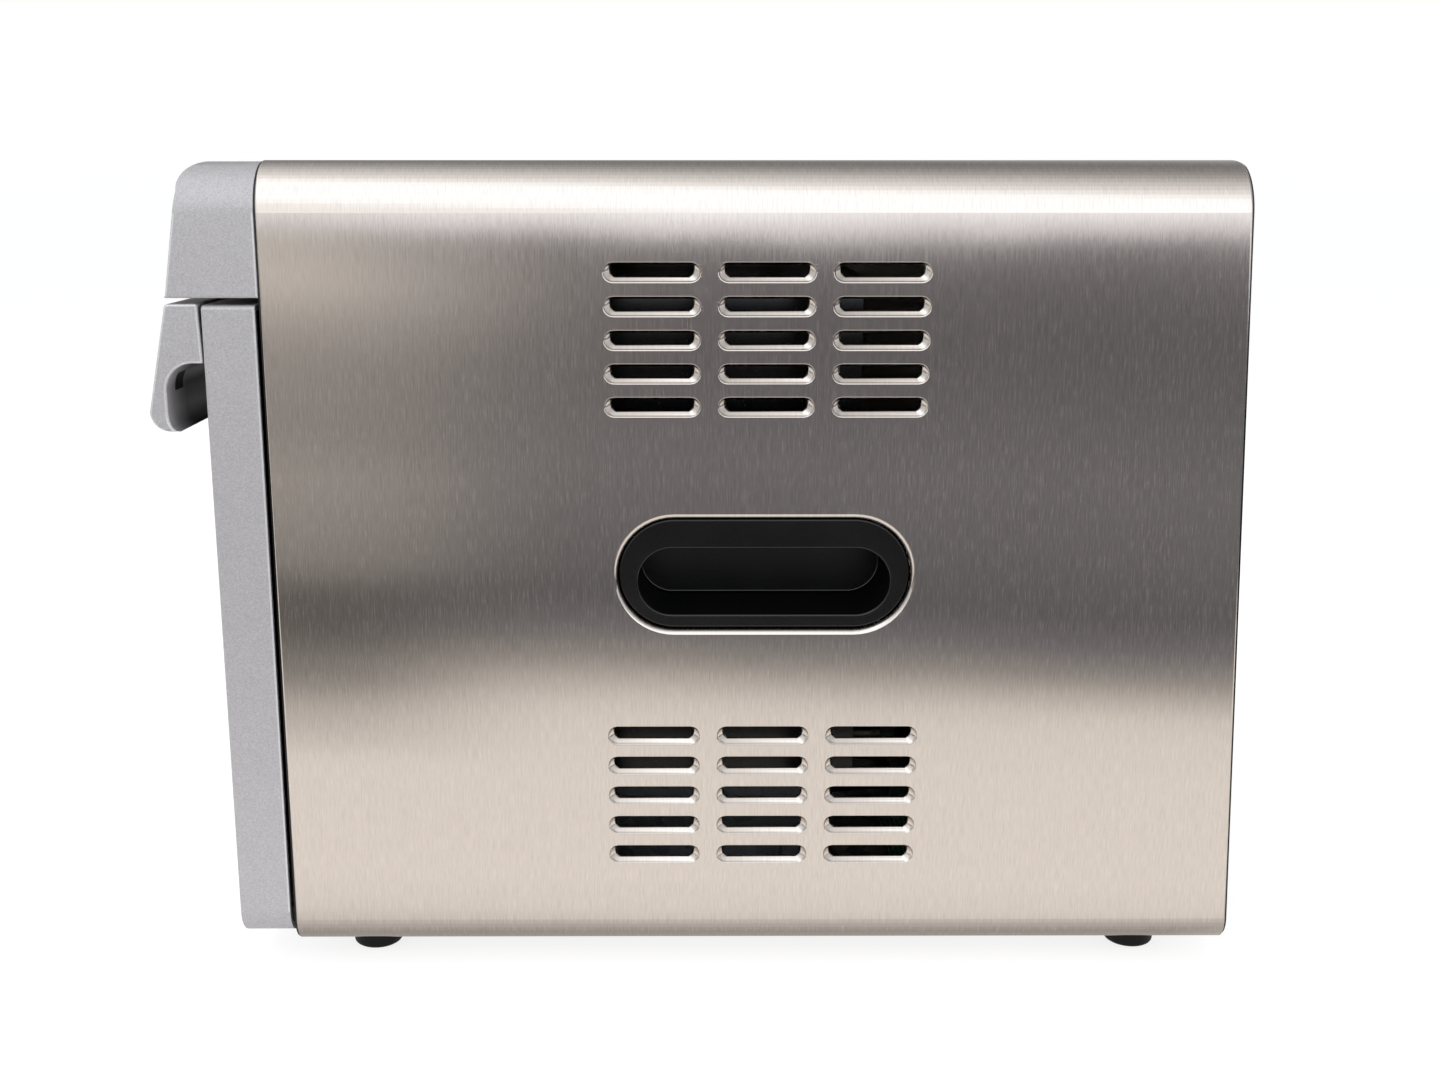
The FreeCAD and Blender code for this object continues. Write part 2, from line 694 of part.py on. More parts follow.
def make_hinge_bracket(side):
    """Steel ear that carries one door pin, on a foot behind the front frame."""
    x = side * hinge_x
    half = HINGE_EAR / 2
    ear_low = hinge_z - HINGE_EAR_RADIUS
    ear = box(x - half, x + half, hinge_y, frame_back + HINGE_EAR, ear_low, ear_low + 2 * HINGE_EAR_RADIUS)
    nose = rod_x(HINGE_EAR_RADIUS, x - half, x + half, hinge_y, hinge_z)
    foot_high = ear_low + 8 * HINGE_EAR_RADIUS
    foot_x = sorted((x + side * half, x - side * 3 * HINGE_EAR))
    foot = box(foot_x[0], foot_x[1], frame_back, frame_back + HINGE_EAR, ear_low, foot_high)
    bore = rod_x(HINGE_PIN_RADIUS + RUNNING, x - half - 1, x + half + 1, hinge_y, hinge_z)
    return merged(ear, nose, foot).cut(bore)


def strike_slab(y0, y1, grow):
    x = 20 + grow
    low = latch_z - latch_low - 6 - grow
    high = latch_z + LATCH_ARM / 2 + 7 + grow
    return rounded_slab(-x, x, y0, y1, low, high, 2, 2)


def make_strike_plate():
    """Steel plate behind the frame that the latch's barb catches."""
    plate = strike_slab(frame_back, frame_back + STRIKE_THICKNESS, 0.0)
    return plate.cut(latch_slot(frame_back - 1, frame_back + STRIKE_THICKNESS + 1))


# ---- door ----
def door_slab(y0, y1, inset):
    x = half_width - inset
    low = max(BOTTOM_BEND - inset, 0.5)
    high = max(2 * DOOR_EDGE - inset, 0.5)
    return rounded_slab(-x, x, y0, y1, door_bottom + inset, door_top - inset, low, high)


def window_slab(y0, y1, grow=0.0):
    x = WINDOW_WIDTH / 2 + grow
    low = door_bottom + WINDOW_RISE - grow
    radius = WINDOW_CORNER + grow
    return rounded_slab(-x, x, y0, y1, low, low + WINDOW_HEIGHT + 2 * grow, radius, radius)


def hinge_notch(side):
    """Room in the door's lower rear edge for a fixed ear through the whole swing."""
    x = side * hinge_x
    half = HINGE_EAR / 2 + 2 * BODY_GAP
    reach = HINGE_EAR_RADIUS + 2 * BODY_GAP
    return box(x - half, x + half, hinge_y - reach, door_back + 1, door_bottom - 1, hinge_z + reach)


def liner_post_places():
    x = half_width - 24
    for side in (-1, 1):
        for z in (door_bottom + 40, door_top - 26):
            yield side * x, z


def lug_x(side):
    return side * HANDLE_LUG_SPACING / 2


def tail_block(y0, y1, grow=0.0):
    """The handle's tail between two depths, or the room round it."""
    x = TAIL_WIDTH / 2 + grow
    z = handle_top - TAIL_DROP
    half = TAIL_HEIGHT / 2 + grow
    return box(-x, x, y0, y1, z - half, z + half)


def make_door_shell():
    outer = filleted(
        door_slab(door_front, door_back, 0.0),
        DOOR_EDGE,
        lambda e: edge_box_is(e, YMin=door_front, YMax=door_front),
    )
    inner_front = door_front + DOOR_WALL
    shell = outer.cut(door_slab(inner_front, door_back + 1, DOOR_WALL))
    liner_front = door_back - DOOR_LINER
    block_top = hinge_z + 2 * HINGE_EAR_RADIUS
    posts = [
        box(x - POST_HALF, x + POST_HALF, door_front + 1, liner_front, z - POST_HALF, z + POST_HALF)
        for x, z in liner_post_places()
    ]
    for side in (-1, 1):
        x = side * hinge_x
        half = HINGE_PIN_LENGTH / 2
        block_low = door_bottom + DOOR_WALL - 1
        posts.append(box(x - half, x + half, inner_front - 1, liner_front, block_low, block_top))
        lug = HANDLE_LUG_WIDTH / 2
        lug_radius = 2 * HANDLE_PIN_RADIUS
        at = lug_x(side)
        lug_low = handle_pivot_z - lug_radius
        lug_high = handle_pivot_z + lug_radius
        posts.append(box(at - lug, at + lug, handle_pivot_y, door_front + 1, lug_low, lug_high))
        posts.append(rod_x(lug_radius, at - lug, at + lug, handle_pivot_y, handle_pivot_z))
    for side in (-1, 1):
        near = LATCH_WIDTH / 2 + 2 * BODY_GAP
        x0, x1 = sorted((side * near, side * (near + LATCH_CHEEK_WIDTH)))
        posts.append(box(x0, x1, door_front + 1, liner_front, latch_z - LATCH_CHEEK, latch_z + LATCH_CHEEK))
    shell = merged(shell, *posts)
    cuts = [window_slab(door_front - 1, inner_front + 1)]
    for side in (-1, 1):
        x = side * hinge_x
        half = HINGE_PIN_LENGTH / 2
        cuts.append(hinge_notch(side))
        cuts.append(rod_x(HINGE_PIN_RADIUS, x - half, x + half, hinge_y, hinge_z))
        at = lug_x(side)
        reach = HANDLE_LUG_WIDTH
        bore = HANDLE_PIN_RADIUS + RUNNING
        cuts.append(rod_x(bore, at - reach, at + reach, handle_pivot_y, handle_pivot_z))
    cuts.append(tail_block(door_front - 1, inner_front + 1, 1.0))
    cuts.append(rod_x(LATCH_PIN_RADIUS, -LATCH_WIDTH / 2 - 6.6, latch_pin_half, latch_y, latch_z))
    return shell.cut(cuts)


def make_door_liner():
    """Enamelled sheet that closes the door's back."""
    liner = door_slab(door_back - DOOR_LINER, door_back, DOOR_WALL + SEAT_GAP)
    y0 = door_back - DOOR_LINER - 1
    y1 = door_back + 1
    notches = [hinge_notch(side) for side in (-1, 1)]
    return liner.cut([window_slab(y0, y1), latch_slot(y0, y1, 0.5)] + notches)


def make_door_gasket():
    grow = 4.0
    ring = mouth(door_back, door_back + GASKET_THICKNESS, grow + GASKET_WIDTH)
    return ring.cut(mouth(door_back - 1, door_back + GASKET_THICKNESS + 1, grow))


def make_hinge_pins():
    half = HINGE_PIN_LENGTH / 2
    pins = []
    for side in (-1, 1):
        x = side * hinge_x
        pins.append(rod_x(HINGE_PIN_RADIUS, x - half, x + half, hinge_y, hinge_z))
    return Part.makeCompound(pins)


# ---- handle and latch ----
def handle_section():
    """The handle's side view: a leaning front, a round nose and a hollow grip under it."""
    top_y = door_front - HANDLE_TOP_REACH
    nose_y = door_front - HANDLE_REACH
    nose = HANDLE_NOSE_RADIUS
    nose_centre = (nose_y + nose, handle_bottom + nose)
    grip_top = handle_bottom + GRIP_HEIGHT
    lip_y = nose_centre[0] + 0.6 * nose
    points = [
        Vector(0, door_front - HANDLE_SLIT, handle_top),
        Vector(0, top_y + HANDLE_TOP_RADIUS, handle_top),
        Vector(0, top_y, handle_top - HANDLE_TOP_RADIUS),
        Vector(0, nose_y, handle_bottom + nose),
        Vector(0, nose_centre[0], handle_bottom),
        Vector(0, lip_y, handle_bottom),
        Vector(0, nose_y + GRIP_WALL, handle_bottom + nose),
        Vector(0, nose_y + GRIP_WALL + GRIP_RADIUS, grip_top),
        Vector(0, door_front - HANDLE_FOOT_SLIT, grip_top),
    ]
    k = math.sqrt(0.5)
    top_arc = HANDLE_TOP_RADIUS * (1 - k)
    nose_arc = nose * (1 - k)
    grip_arc = GRIP_RADIUS * (1 - k)
    edges = [
        Part.LineSegment(points[0], points[1]),
        Part.Arc(points[1], Vector(0, top_y + top_arc, handle_top - top_arc), points[2]),
        Part.LineSegment(points[2], points[3]),
        Part.Arc(points[3], Vector(0, nose_y + nose_arc, handle_bottom + nose_arc), points[4]),
        Part.LineSegment(points[4], points[5]),
        Part.LineSegment(points[5], points[6]),
        Part.LineSegment(points[6], Vector(0, nose_y + GRIP_WALL, grip_top - GRIP_RADIUS)),
        Part.Arc(
            Vector(0, nose_y + GRIP_WALL, grip_top - GRIP_RADIUS),
            Vector(0, nose_y + GRIP_WALL + grip_arc, grip_top - grip_arc),
            points[7],
        ),
        Part.LineSegment(points[7], points[8]),
        Part.LineSegment(points[8], points[0]),
    ]
    return Part.Face(Part.Wire([edge.toShape() for edge in edges]))


def make_handle():
    blank = handle_section().extrude(Vector(CASE_WIDTH, 0, 0)).translated(Vector(-half_width, 0, 0))
    front = door_front - HANDLE_TOP_REACH + HANDLE_WALL
    low = handle_bottom + GRIP_HEIGHT + HANDLE_WALL
    high = handle_top - HANDLE_WALL
    lug_gap = HANDLE_LUG_WIDTH / 2 + BODY_GAP
    inner_rib = HANDLE_LUG_SPACING / 2 - lug_gap - HANDLE_RIB
    outer_rib = HANDLE_LUG_SPACING / 2 + lug_gap + HANDLE_RIB
    end = half_width - HANDLE_WALL
    spans = [(-end, -outer_rib), (outer_rib, end), (-inner_rib, inner_rib)]
    for side in (-1, 1):
        spans.append((lug_x(side) - lug_gap, lug_x(side) + lug_gap))
    hollows = [box(x0, x1, front, door_front + 1, low, high) for x0, x1 in spans]
    tail = tail_block(front - 1, latch_y - LATCH_ARM - BODY_GAP)
    bores = []
    for side in (-1, 1):
        reach = lug_gap + HANDLE_RIB - 1
        x = lug_x(side)
        bores.append(rod_x(HANDLE_PIN_RADIUS, x - reach, x + reach, handle_pivot_y, handle_pivot_z))
    return merged(blank.cut(hollows), tail).cut(bores)


def make_handle_pins():
    reach = HANDLE_LUG_WIDTH / 2 + BODY_GAP + HANDLE_RIB - 1
    pins = [
        rod_x(HANDLE_PIN_RADIUS, lug_x(side) - reach, lug_x(side) + reach, handle_pivot_y, handle_pivot_z)
        for side in (-1, 1)
    ]
    return Part.makeCompound(pins)


def make_latch_hook():
    """Hook on a cross pin: the handle's tail pushes its upper arm, its barb holds the strike."""
    half = LATCH_WIDTH / 2
    arm = LATCH_ARM / 2
    barb_y = frame_back + STRIKE_THICKNESS + BODY_GAP
    boss = rod_x(LATCH_ARM, -half, half, latch_y, latch_z)
    long_arm = box(-half, half, latch_y, barb_y + 3, latch_z - arm, latch_z + arm)
    barb = box(-half, half, barb_y, barb_y + 3, latch_z - arm, latch_z + arm + LATCH_BARB)
    tail_z = handle_top - TAIL_DROP
    up_arm = box(-half, half, latch_y - LATCH_ARM, latch_y + arm, latch_z, tail_z + TAIL_HEIGHT / 2)
    bore = rod_x(LATCH_PIN_RADIUS + RUNNING, -half - 1, half + 1, latch_y, latch_z)
    return merged(boss, long_arm, barb, up_arm).cut(bore)


def make_latch_pin():
    return rod_x(LATCH_PIN_RADIUS, -latch_pin_half, latch_pin_half, latch_y, latch_z)


# ---- fascia and controls ----
def fascia_block(inset):
    """The fascia's outer form, or the same form drawn in by the inset."""
    x = half_width - inset
    low = fascia_bottom + inset
    high = fascia_top - inset
    y_back = fascia_back + (1.0 if inset else 0.0)
    front_view = rounded_slab(-x, x, fascia_front - 1, y_back, low, high, 1.0, TOP_BEND - inset)
    foot_y = fascia_front + inset
    lean = FASCIA_LEAN_RUN / FACE_HEIGHT
    shoulder_z = fascia_bottom + FACE_HEIGHT
    shoulder_y = foot_y + lean * (shoulder_z - low)
    nose_y = shoulder_y + (high - shoulder_z) * 0.75
    middle = Vector(0, shoulder_y + (nose_y - shoulder_y) * 0.28, shoulder_z + (high - shoulder_z) * 0.72)
    edges = [
        Part.LineSegment(Vector(0, y_back, low), Vector(0, foot_y, low)),
        Part.LineSegment(Vector(0, foot_y, low), Vector(0, shoulder_y, shoulder_z)),
        Part.Arc(Vector(0, shoulder_y, shoulder_z), middle, Vector(0, nose_y, high)),
        Part.LineSegment(Vector(0, nose_y, high), Vector(0, y_back, high)),
        Part.LineSegment(Vector(0, y_back, high), Vector(0, y_back, low)),
    ]
    side_view = Part.Face(Part.Wire([edge.toShape() for edge in edges]))
    side_view = side_view.extrude(Vector(2 * x, 0, 0)).translated(Vector(-x, 0, 0))
    return front_view.common(side_view)


def button_xs():
    for i in range(2):
        yield -(BUTTON_FIRST + i * BUTTON_PITCH)
        yield BUTTON_FIRST + i * BUTTON_PITCH


def face_slab(width, height, radius, out0, out1, x=0.0):
    """A rounded block on the control face between two heights above it."""
    slab = rounded_slab(-width / 2, width / 2, -out1, -out0, -height / 2, height / 2, radius, radius)
    return on_face(slab, x)


def face_rod(radius, out0, out1, x):
    return on_face(rod_y(radius, -out1, -out0, 0, 0), x)


def face_block(width, height, out0, out1, x=0.0):
    return on_face(box(-width / 2, width / 2, -out1, -out0, -height / 2, height / 2), x)


def board_posts():
    return [-side_control_x + 22, side_control_x - 22]


def make_fascia():
    shell = fascia_block(0.0).cut(fascia_block(FASCIA_WALL))
    posts = [face_block(6, 6, -BOARD_SETBACK, -FASCIA_WALL / 2, x) for x in board_posts()]
    shell = merged(shell, *posts)
    ledge = 2 * DISPLAY_LEDGE
    cuts = [
        face_slab(DISPLAY_WIDTH - ledge, DISPLAY_HEIGHT - ledge, 2, -FASCIA_WALL - 2, 1),
        face_slab(DISPLAY_WIDTH + 2 * SEAT_GAP, DISPLAY_HEIGHT + 2 * SEAT_GAP, 3, -DISPLAY_LENS, 1),
    ]
    gap = 2 * BODY_GAP
    radius = (BUTTON_HEIGHT + gap) / 2 - 0.1
    for x in button_xs():
        cuts.append(face_slab(BUTTON_WIDTH + gap, BUTTON_HEIGHT + gap, radius, -FASCIA_WALL - 2, 1, x))
    for side in (-1, 1):
        cuts.append(face_rod(START_RADIUS + BODY_GAP, -FASCIA_WALL - 2, 1, side * side_control_x))
    return shell.cut(cuts)


def make_display_lens():
    return face_slab(DISPLAY_WIDTH, DISPLAY_HEIGHT, 3, -DISPLAY_LENS, 0)


def button_stem_end():
    return FASCIA_WALL + 6.0


def with_stem(cap, width, height, x):
    """A button cap with the flange that keeps it in and the square stem that meets its switch."""
    back = -FASCIA_WALL - BODY_GAP
    flange = face_block(width + 2 * BUTTON_FLANGE, height + 2 * BUTTON_FLANGE, back - 1.2, back, x)
    stem = face_block(BUTTON_STEM, BUTTON_STEM, -button_stem_end(), back - 1, x)
    return merged(cap, flange, stem)


def make_button(x):
    radius = BUTTON_HEIGHT / 2 - 0.1
    cap = face_slab(BUTTON_WIDTH, BUTTON_HEIGHT, radius, -FASCIA_WALL - BODY_GAP, BUTTON_PROUD, x)
    return with_stem(cap, BUTTON_WIDTH, BUTTON_HEIGHT, x)


def make_round_button(x):
    cap = face_rod(START_RADIUS, -FASCIA_WALL - BODY_GAP, BUTTON_PROUD, x)
    return with_stem(cap, 2 * START_RADIUS, 2 * START_RADIUS, x)


def make_control_board():
    """Circuit board with the display module and a switch under each button."""
    width = 2 * side_control_x + 24
    board = face_block(width, FACE_HEIGHT - 12, -BOARD_SETBACK - BOARD_THICKNESS, -BOARD_SETBACK)
    front = -BOARD_SETBACK - BOARD_THICKNESS / 2
    switch_top = -button_stem_end() - BUTTON_TRAVEL - BODY_GAP
    all_xs = list(button_xs()) + [-side_control_x, side_control_x]
    switches = [face_block(6, 6, front, switch_top, x) for x in all_xs]
    display = face_block(DISPLAY_WIDTH - 8, DISPLAY_HEIGHT - 4, front, -FASCIA_WALL - 2)
    chips = [face_block(10, 7, -BOARD_SETBACK - BOARD_THICKNESS - 2, front, x) for x in (-40, 0, 40)]
    return merged(board, display, *switches, *chips)


# ---- baking chamber ----
def chamber_slab(y0, y1, inset):
    x = CHAMBER_WIDTH / 2 - inset
    radius = CHAMBER_CORNER - inset
    low = CHAMBER_FLOOR - SHEET + inset
    return rounded_slab(-x, x, y0, y1, low, CHAMBER_TOP + SHEET - inset, radius, radius)


def heater_ends():
    return [side * HEATER_LENGTH / 2 for side in (-1, 1)]


def make_chamber():
    hollow = chamber_slab(chamber_front + SHEET, chamber_back - SHEET, SHEET)
    shell = chamber_slab(chamber_front, chamber_back, 0.0).cut(hollow)
    heater_z = CHAMBER_FLOOR + HEATER_RISE
    cuts = [mouth(chamber_front - 1, chamber_front + SHEET + 1, 1.0)]
    cuts.append(rod_z(SHAFT_RADIUS + 1.0, CHAMBER_FLOOR - 2, CHAMBER_FLOOR + 1))
    cuts.append(strike_slab(chamber_front - 1, chamber_front + SHEET + 1, 1.0))
    for x in heater_ends():
        cuts.append(rod_y(HEATER_RADIUS + BODY_GAP, chamber_back - 3, chamber_back + 1, x, heater_z))
    wall = -CHAMBER_WIDTH / 2
    cuts.append(rod_x(SENSOR_RADIUS + SEAT_GAP, wall - 1, wall + 3, sensor_y, sensor_z))
    return shell.cut(cuts)


def make_chamber_rails():
    rails = []
    for side in (-1, 1):
        x = side * CHAMBER_WIDTH * 0.4
        y0 = FRAME_DEPTH + 6
        y1 = chamber_back - 10
        top = CHAMBER_FLOOR - SHEET
        web = box(x - 0.6, x + 0.6, y0, y1, base_top, top)
        feet = [box(x - 8, x + 8, y0, y1, z, z + 1.2) for z in (base_top, top - 1.2)]
        rails.append(merged(web, *feet))
    return Part.makeCompound(rails)


def make_heater():
    """Tubular element bent to a U round the pan; its two ends leave through the chamber's back."""
    z = CHAMBER_FLOOR + HEATER_RISE
    x = HEATER_LENGTH / 2
    front = PAN_CENTRE_Y - HEATER_WIDTH / 2
    bend = HEATER_BEND
    pieces = [rod_x(HEATER_RADIUS, bend - x, x - bend, front, z)]
    for side in (-1, 1):
        pieces.append(rod_y(HEATER_RADIUS, front + bend, chamber_back + 14, side * x, z))
        start = Vector(side * x, front + bend, z)
        section = Part.Face(Part.Wire(Part.makeCircle(HEATER_RADIUS, start, Vector(0, 1, 0))))
        centre = Vector(side * (x - bend), front + bend, z)
        pieces.append(section.revolve(centre, Vector(0, 0, 1), -90 * side))
    return merged(*pieces)


def make_heater_clips():
    """Saddles that stand on the chamber's floor and hold the heater tube."""
    z = CHAMBER_FLOOR + HEATER_RISE
    clips = []
    for side in (-1, 1):
        for y in (PAN_CENTRE_Y - HEATER_WIDTH / 4, PAN_CENTRE_Y + HEATER_WIDTH / 4):
            x = side * HEATER_LENGTH / 2
            post = box(x - 1, x + 1, y - 4, y + 4, CHAMBER_FLOOR, z - HEATER_RADIUS)
            saddle = box(x - 2 * HEATER_RADIUS, x + 2 * HEATER_RADIUS, y - 4, y + 4, z - 2 * HEATER_RADIUS, z)
            groove = rod_y(HEATER_RADIUS + SEAT_GAP / 2, y - 5, y + 5, x, z)
            clips.append(merged(post, saddle).cut(groove))
    return Part.makeCompound(clips)


def make_sensor():
    """Probe through the chamber's left wall."""
    wall = -CHAMBER_WIDTH / 2
    half = 2 * SENSOR_RADIUS
    probe = rod_x(SENSOR_RADIUS, wall - 3, wall + 14, sensor_y, sensor_z)
    flange = box(wall - 3, wall, sensor_y - half, sensor_y + half, sensor_z - half, sensor_z + half)
    return merged(probe, flange)


def make_pan_seat():
    """Ring on the chamber's floor that the pan's skirt drops into."""
    inner = SKIRT_RADIUS + BODY_GAP
    top = CHAMBER_FLOOR + SEAT_HEIGHT
    ring = rod_z(inner + SEAT_WALL, CHAMBER_FLOOR, top)
    return ring.cut(rod_z(inner, CHAMBER_FLOOR - 1, top + 1))


# ---- bread pan ----
def pan_body(inset, z0, z1):
    """The pan's tapered form between two heights, drawn in by the inset."""
    half_x = PAN_LENGTH / 2 - PAN_CORNER
    half_y = PAN_WIDTH / 2 - PAN_CORNER
    low = PAN_CORNER - PAN_TAPER * (pan_top - z0) / PAN_HEIGHT - inset
    high = PAN_CORNER - PAN_TAPER * (pan_top - z1) / PAN_HEIGHT - inset
    body = drafted_block(half_x, half_y, low, high, PAN_FLAT_COUNT, z0, z1)
    return body.translated(Vector(0, PAN_CENTRE_Y, 0))


def make_bread_pan():
    """Drafted pan with a rolled rim, a stud at each end for the bail and a bush hole in its floor."""
    blank = pan_body(0.0, pan_bottom, pan_top)
    rim = pan_body(-PAN_RIM, pan_top - PAN_RIM, pan_top)
    hollow = pan_body(PAN_WALL, pan_bottom + PAN_WALL, pan_top + 1)
    pan = merged(blank, rim).cut(hollow)
    wall_middle = PAN_LENGTH / 2 - PAN_TAPER * BAIL_DROP / PAN_HEIGHT - PAN_WALL / 2
    studs = []
    for side in (-1, 1):
        for radius, tip in ((STUD_RADIUS, bail_tip), (2 * STUD_RADIUS, bail_half_span - BODY_GAP)):
            x0, x1 = sorted((side * wall_middle, side * tip))
            studs.append(rod_x(radius, x0, x1, PAN_CENTRE_Y, bail_z))
    return merged(pan, *studs).cut(rod_z(BUSH_RADIUS, pan_bottom - 1, pan_bottom + PAN_WALL + 1))


def make_pan_skirt():
    """Ring under the pan that seats it over the coupling."""
    low = CHAMBER_FLOOR + BODY_GAP
    return rod_z(SKIRT_RADIUS, low, pan_bottom).cut(rod_z(SKIRT_RADIUS - SKIRT_WALL, low - 1, pan_bottom + 1))


def make_pan_bush():
    low = pan_bottom - BUSH_REACH
    high = pan_bottom + PAN_WALL + BUSH_REACH
    return rod_z(BUSH_RADIUS, low, high).cut(rod_z(SHAFT_RADIUS + RUNNING, low - 1, high + 1))


def bail_plate(inset):
    """The bail's U in plan, filled in, with its free ends behind the studs."""
    x = bail_half_span + BAIL_STRIP - inset
    front = PAN_CENTRE_Y - BAIL_REACH + inset
    back = PAN_CENTRE_Y + BAIL_HEIGHT / 2 + (1 if inset else 0)
    radius = BAIL_CORNER - inset
    low = bail_z - BAIL_HEIGHT / 2 - (1 if inset else 0)
    high = bail_z + BAIL_HEIGHT / 2 + (1 if inset else 0)
    block = box(-x, x, front, back, low, high)
    return filleted(block, radius, lambda e: edge_box_is(e, YMin=front, YMax=front, ZMin=low, ZMax=high))


def make_bail():
    """Flat strip bail that turns on the pan's studs; it rests folded to the front."""
    bail = bail_plate(0.0).cut(bail_plate(BAIL_STRIP))
    reach = bail_half_span + 2 * BAIL_STRIP
    return bail.cut(rod_x(STUD_RADIUS + RUNNING, -reach, reach, PAN_CENTRE_Y, bail_z))


# ---- kneading drive ----
def dogs(angle, z0, z1):
    """Two clutch dogs, opposite each other, from the given angle."""
    half = COUPLING_RADIUS / 4
    inner = SHAFT_RADIUS + 2
    outer = COUPLING_RADIUS - 2
    pair = [
        box(-half, half, PAN_CENTRE_Y + inner, PAN_CENTRE_Y + outer, z0, z1),
        box(-half, half, PAN_CENTRE_Y - outer, PAN_CENTRE_Y - inner, z0, z1),
    ]
    for dog in pair:
        dog.rotate(Vector(0, PAN_CENTRE_Y, 0), Vector(0, 0, 1), angle)
    return pair


def make_drive_coupling():
    disc = rod_z(COUPLING_RADIUS, CHAMBER_FLOOR + 1.5, drive_top)
    bore = rod_z(SHAFT_RADIUS, CHAMBER_FLOOR, drive_top + 1)
    return merged(disc, *dogs(0, drive_top - 1, mesh_top)).cut(bore)


def make_drive_shaft():
    return rod_z(SHAFT_RADIUS, PULLEY_RISE - 2, drive_top)


def make_drive_pulley():
    """Large belt pulley: a lower flange, a rim, a web and a hub."""
    r = PULLEY_RADIUS
    low = PULLEY_RISE
    flange_top = low + PULLEY_FLANGE / 2
    web_top = low + PULLEY_WEB
    hub = SHAFT_RADIUS + PULLEY_WEB
    profile = [
        (SHAFT_RADIUS, low),
        (r + PULLEY_FLANGE, low),
        (r + PULLEY_FLANGE, flange_top),
        (r, flange_top),
        (r, pulley_top),
        (r - PULLEY_WEB, pulley_top),
        (r - PULLEY_WEB, web_top),
        (hub, web_top),
        (hub, pulley_top),
        (SHAFT_RADIUS, pulley_top),
    ]
    return revolved(profile, 0.0, PAN_CENTRE_Y)


def make_bearing_housing():
    """Housing under the chamber's floor that carries the drive shaft's bush."""
    top = CHAMBER_FLOOR - SHEET
    low = top - HOUSING_LENGTH
    plate = HOUSING_RADIUS + HOUSING_PLATE
    body = rod_z(HOUSING_RADIUS, low, top)
    flange = box(-plate, plate, PAN_CENTRE_Y - plate, PAN_CENTRE_Y + plate, top - 4, top)
    ribs = []
    for turn in range(4):
        rib = box(HOUSING_RADIUS / 2, plate - 2, PAN_CENTRE_Y - 1.5, PAN_CENTRE_Y + 1.5, top - 12, top - 3)
        rib.rotate(Vector(0, PAN_CENTRE_Y, 0), Vector(0, 0, 1), 90 * turn)
        ribs.append(rib)
    bore = rod_z(BUSH_RADIUS, low - 1, top + 1)
    return merged(body, flange, *ribs).cut(bore)


def make_shaft_bush():
    top = CHAMBER_FLOOR - SHEET
    low = top - HOUSING_LENGTH
    return rod_z(BUSH_RADIUS, low, top).cut(rod_z(SHAFT_RADIUS + RUNNING, low - 1, top + 1))


def belt_loop(grow, z0, z1):
    """The band around both pulleys, grown outwards from their grooves."""
    big = PULLEY_RADIUS + grow
    small = MOTOR_PULLEY_RADIUS + grow
    distance = MOTOR_CENTRE_Y - PAN_CENTRE_Y
    lean = math.asin((big - small) / distance)
    big_y = PAN_CENTRE_Y + big * math.sin(lean)
    small_y = MOTOR_CENTRE_Y + small * math.sin(lean)
    big_x = big * math.cos(lean)
    small_x = small * math.cos(lean)
    corners = [
        Vector(big_x, big_y, z0),
        Vector(small_x, small_y, z0),
        Vector(-small_x, small_y, z0),
        Vector(-big_x, big_y, z0),
    ]
    middle = Part.Face(Part.makePolygon(corners + [corners[0]])).extrude(Vector(0, 0, z1 - z0))
    return merged(middle, rod_z(big, z0, z1), rod_z(small, z0, z1, 0, MOTOR_CENTRE_Y))


def make_belt():
    z0 = PULLEY_RISE + (PULLEY_HEIGHT - BELT_WIDTH) / 2
    z1 = z0 + BELT_WIDTH
    return belt_loop(BODY_GAP + BELT_THICKNESS, z0, z1).cut(belt_loop(BODY_GAP, z0 - 1, z1 + 1))


def make_motor_pulley():
    r = MOTOR_PULLEY_RADIUS
    flange_top = PULLEY_RISE + PULLEY_FLANGE / 2
    profile = [
        (MOTOR_SHAFT_RADIUS, PULLEY_RISE),
        (r + PULLEY_FLANGE, PULLEY_RISE),
        (r + PULLEY_FLANGE, flange_top),
        (r, flange_top),
        (r, pulley_top),
        (MOTOR_SHAFT_RADIUS, pulley_top),
    ]
    return revolved(profile, 0.0, MOTOR_CENTRE_Y)


def make_motor_shaft():
    return rod_z(MOTOR_SHAFT_RADIUS, PULLEY_RISE - 1, motor_shaft_top, 0, MOTOR_CENTRE_Y)


def make_motor():
    """Motor can with its laminated stack, open at the bottom for the shaft."""
    top = motor_bottom + MOTOR_HEIGHT
    body = rod_z(MOTOR_RADIUS, motor_bottom, top, 0, MOTOR_CENTRE_Y)
    half = MOTOR_RADIUS + 3
    y = MOTOR_CENTRE_Y
    stack = box(-half, half, y - half * 0.6, y + half * 0.6, motor_bottom + 22, top - 22)
    bore = rod_z(MOTOR_SHAFT_RADIUS + RUNNING, motor_bottom - 1, motor_shaft_top + 1, 0, y)
    return merged(body, stack).cut(bore)


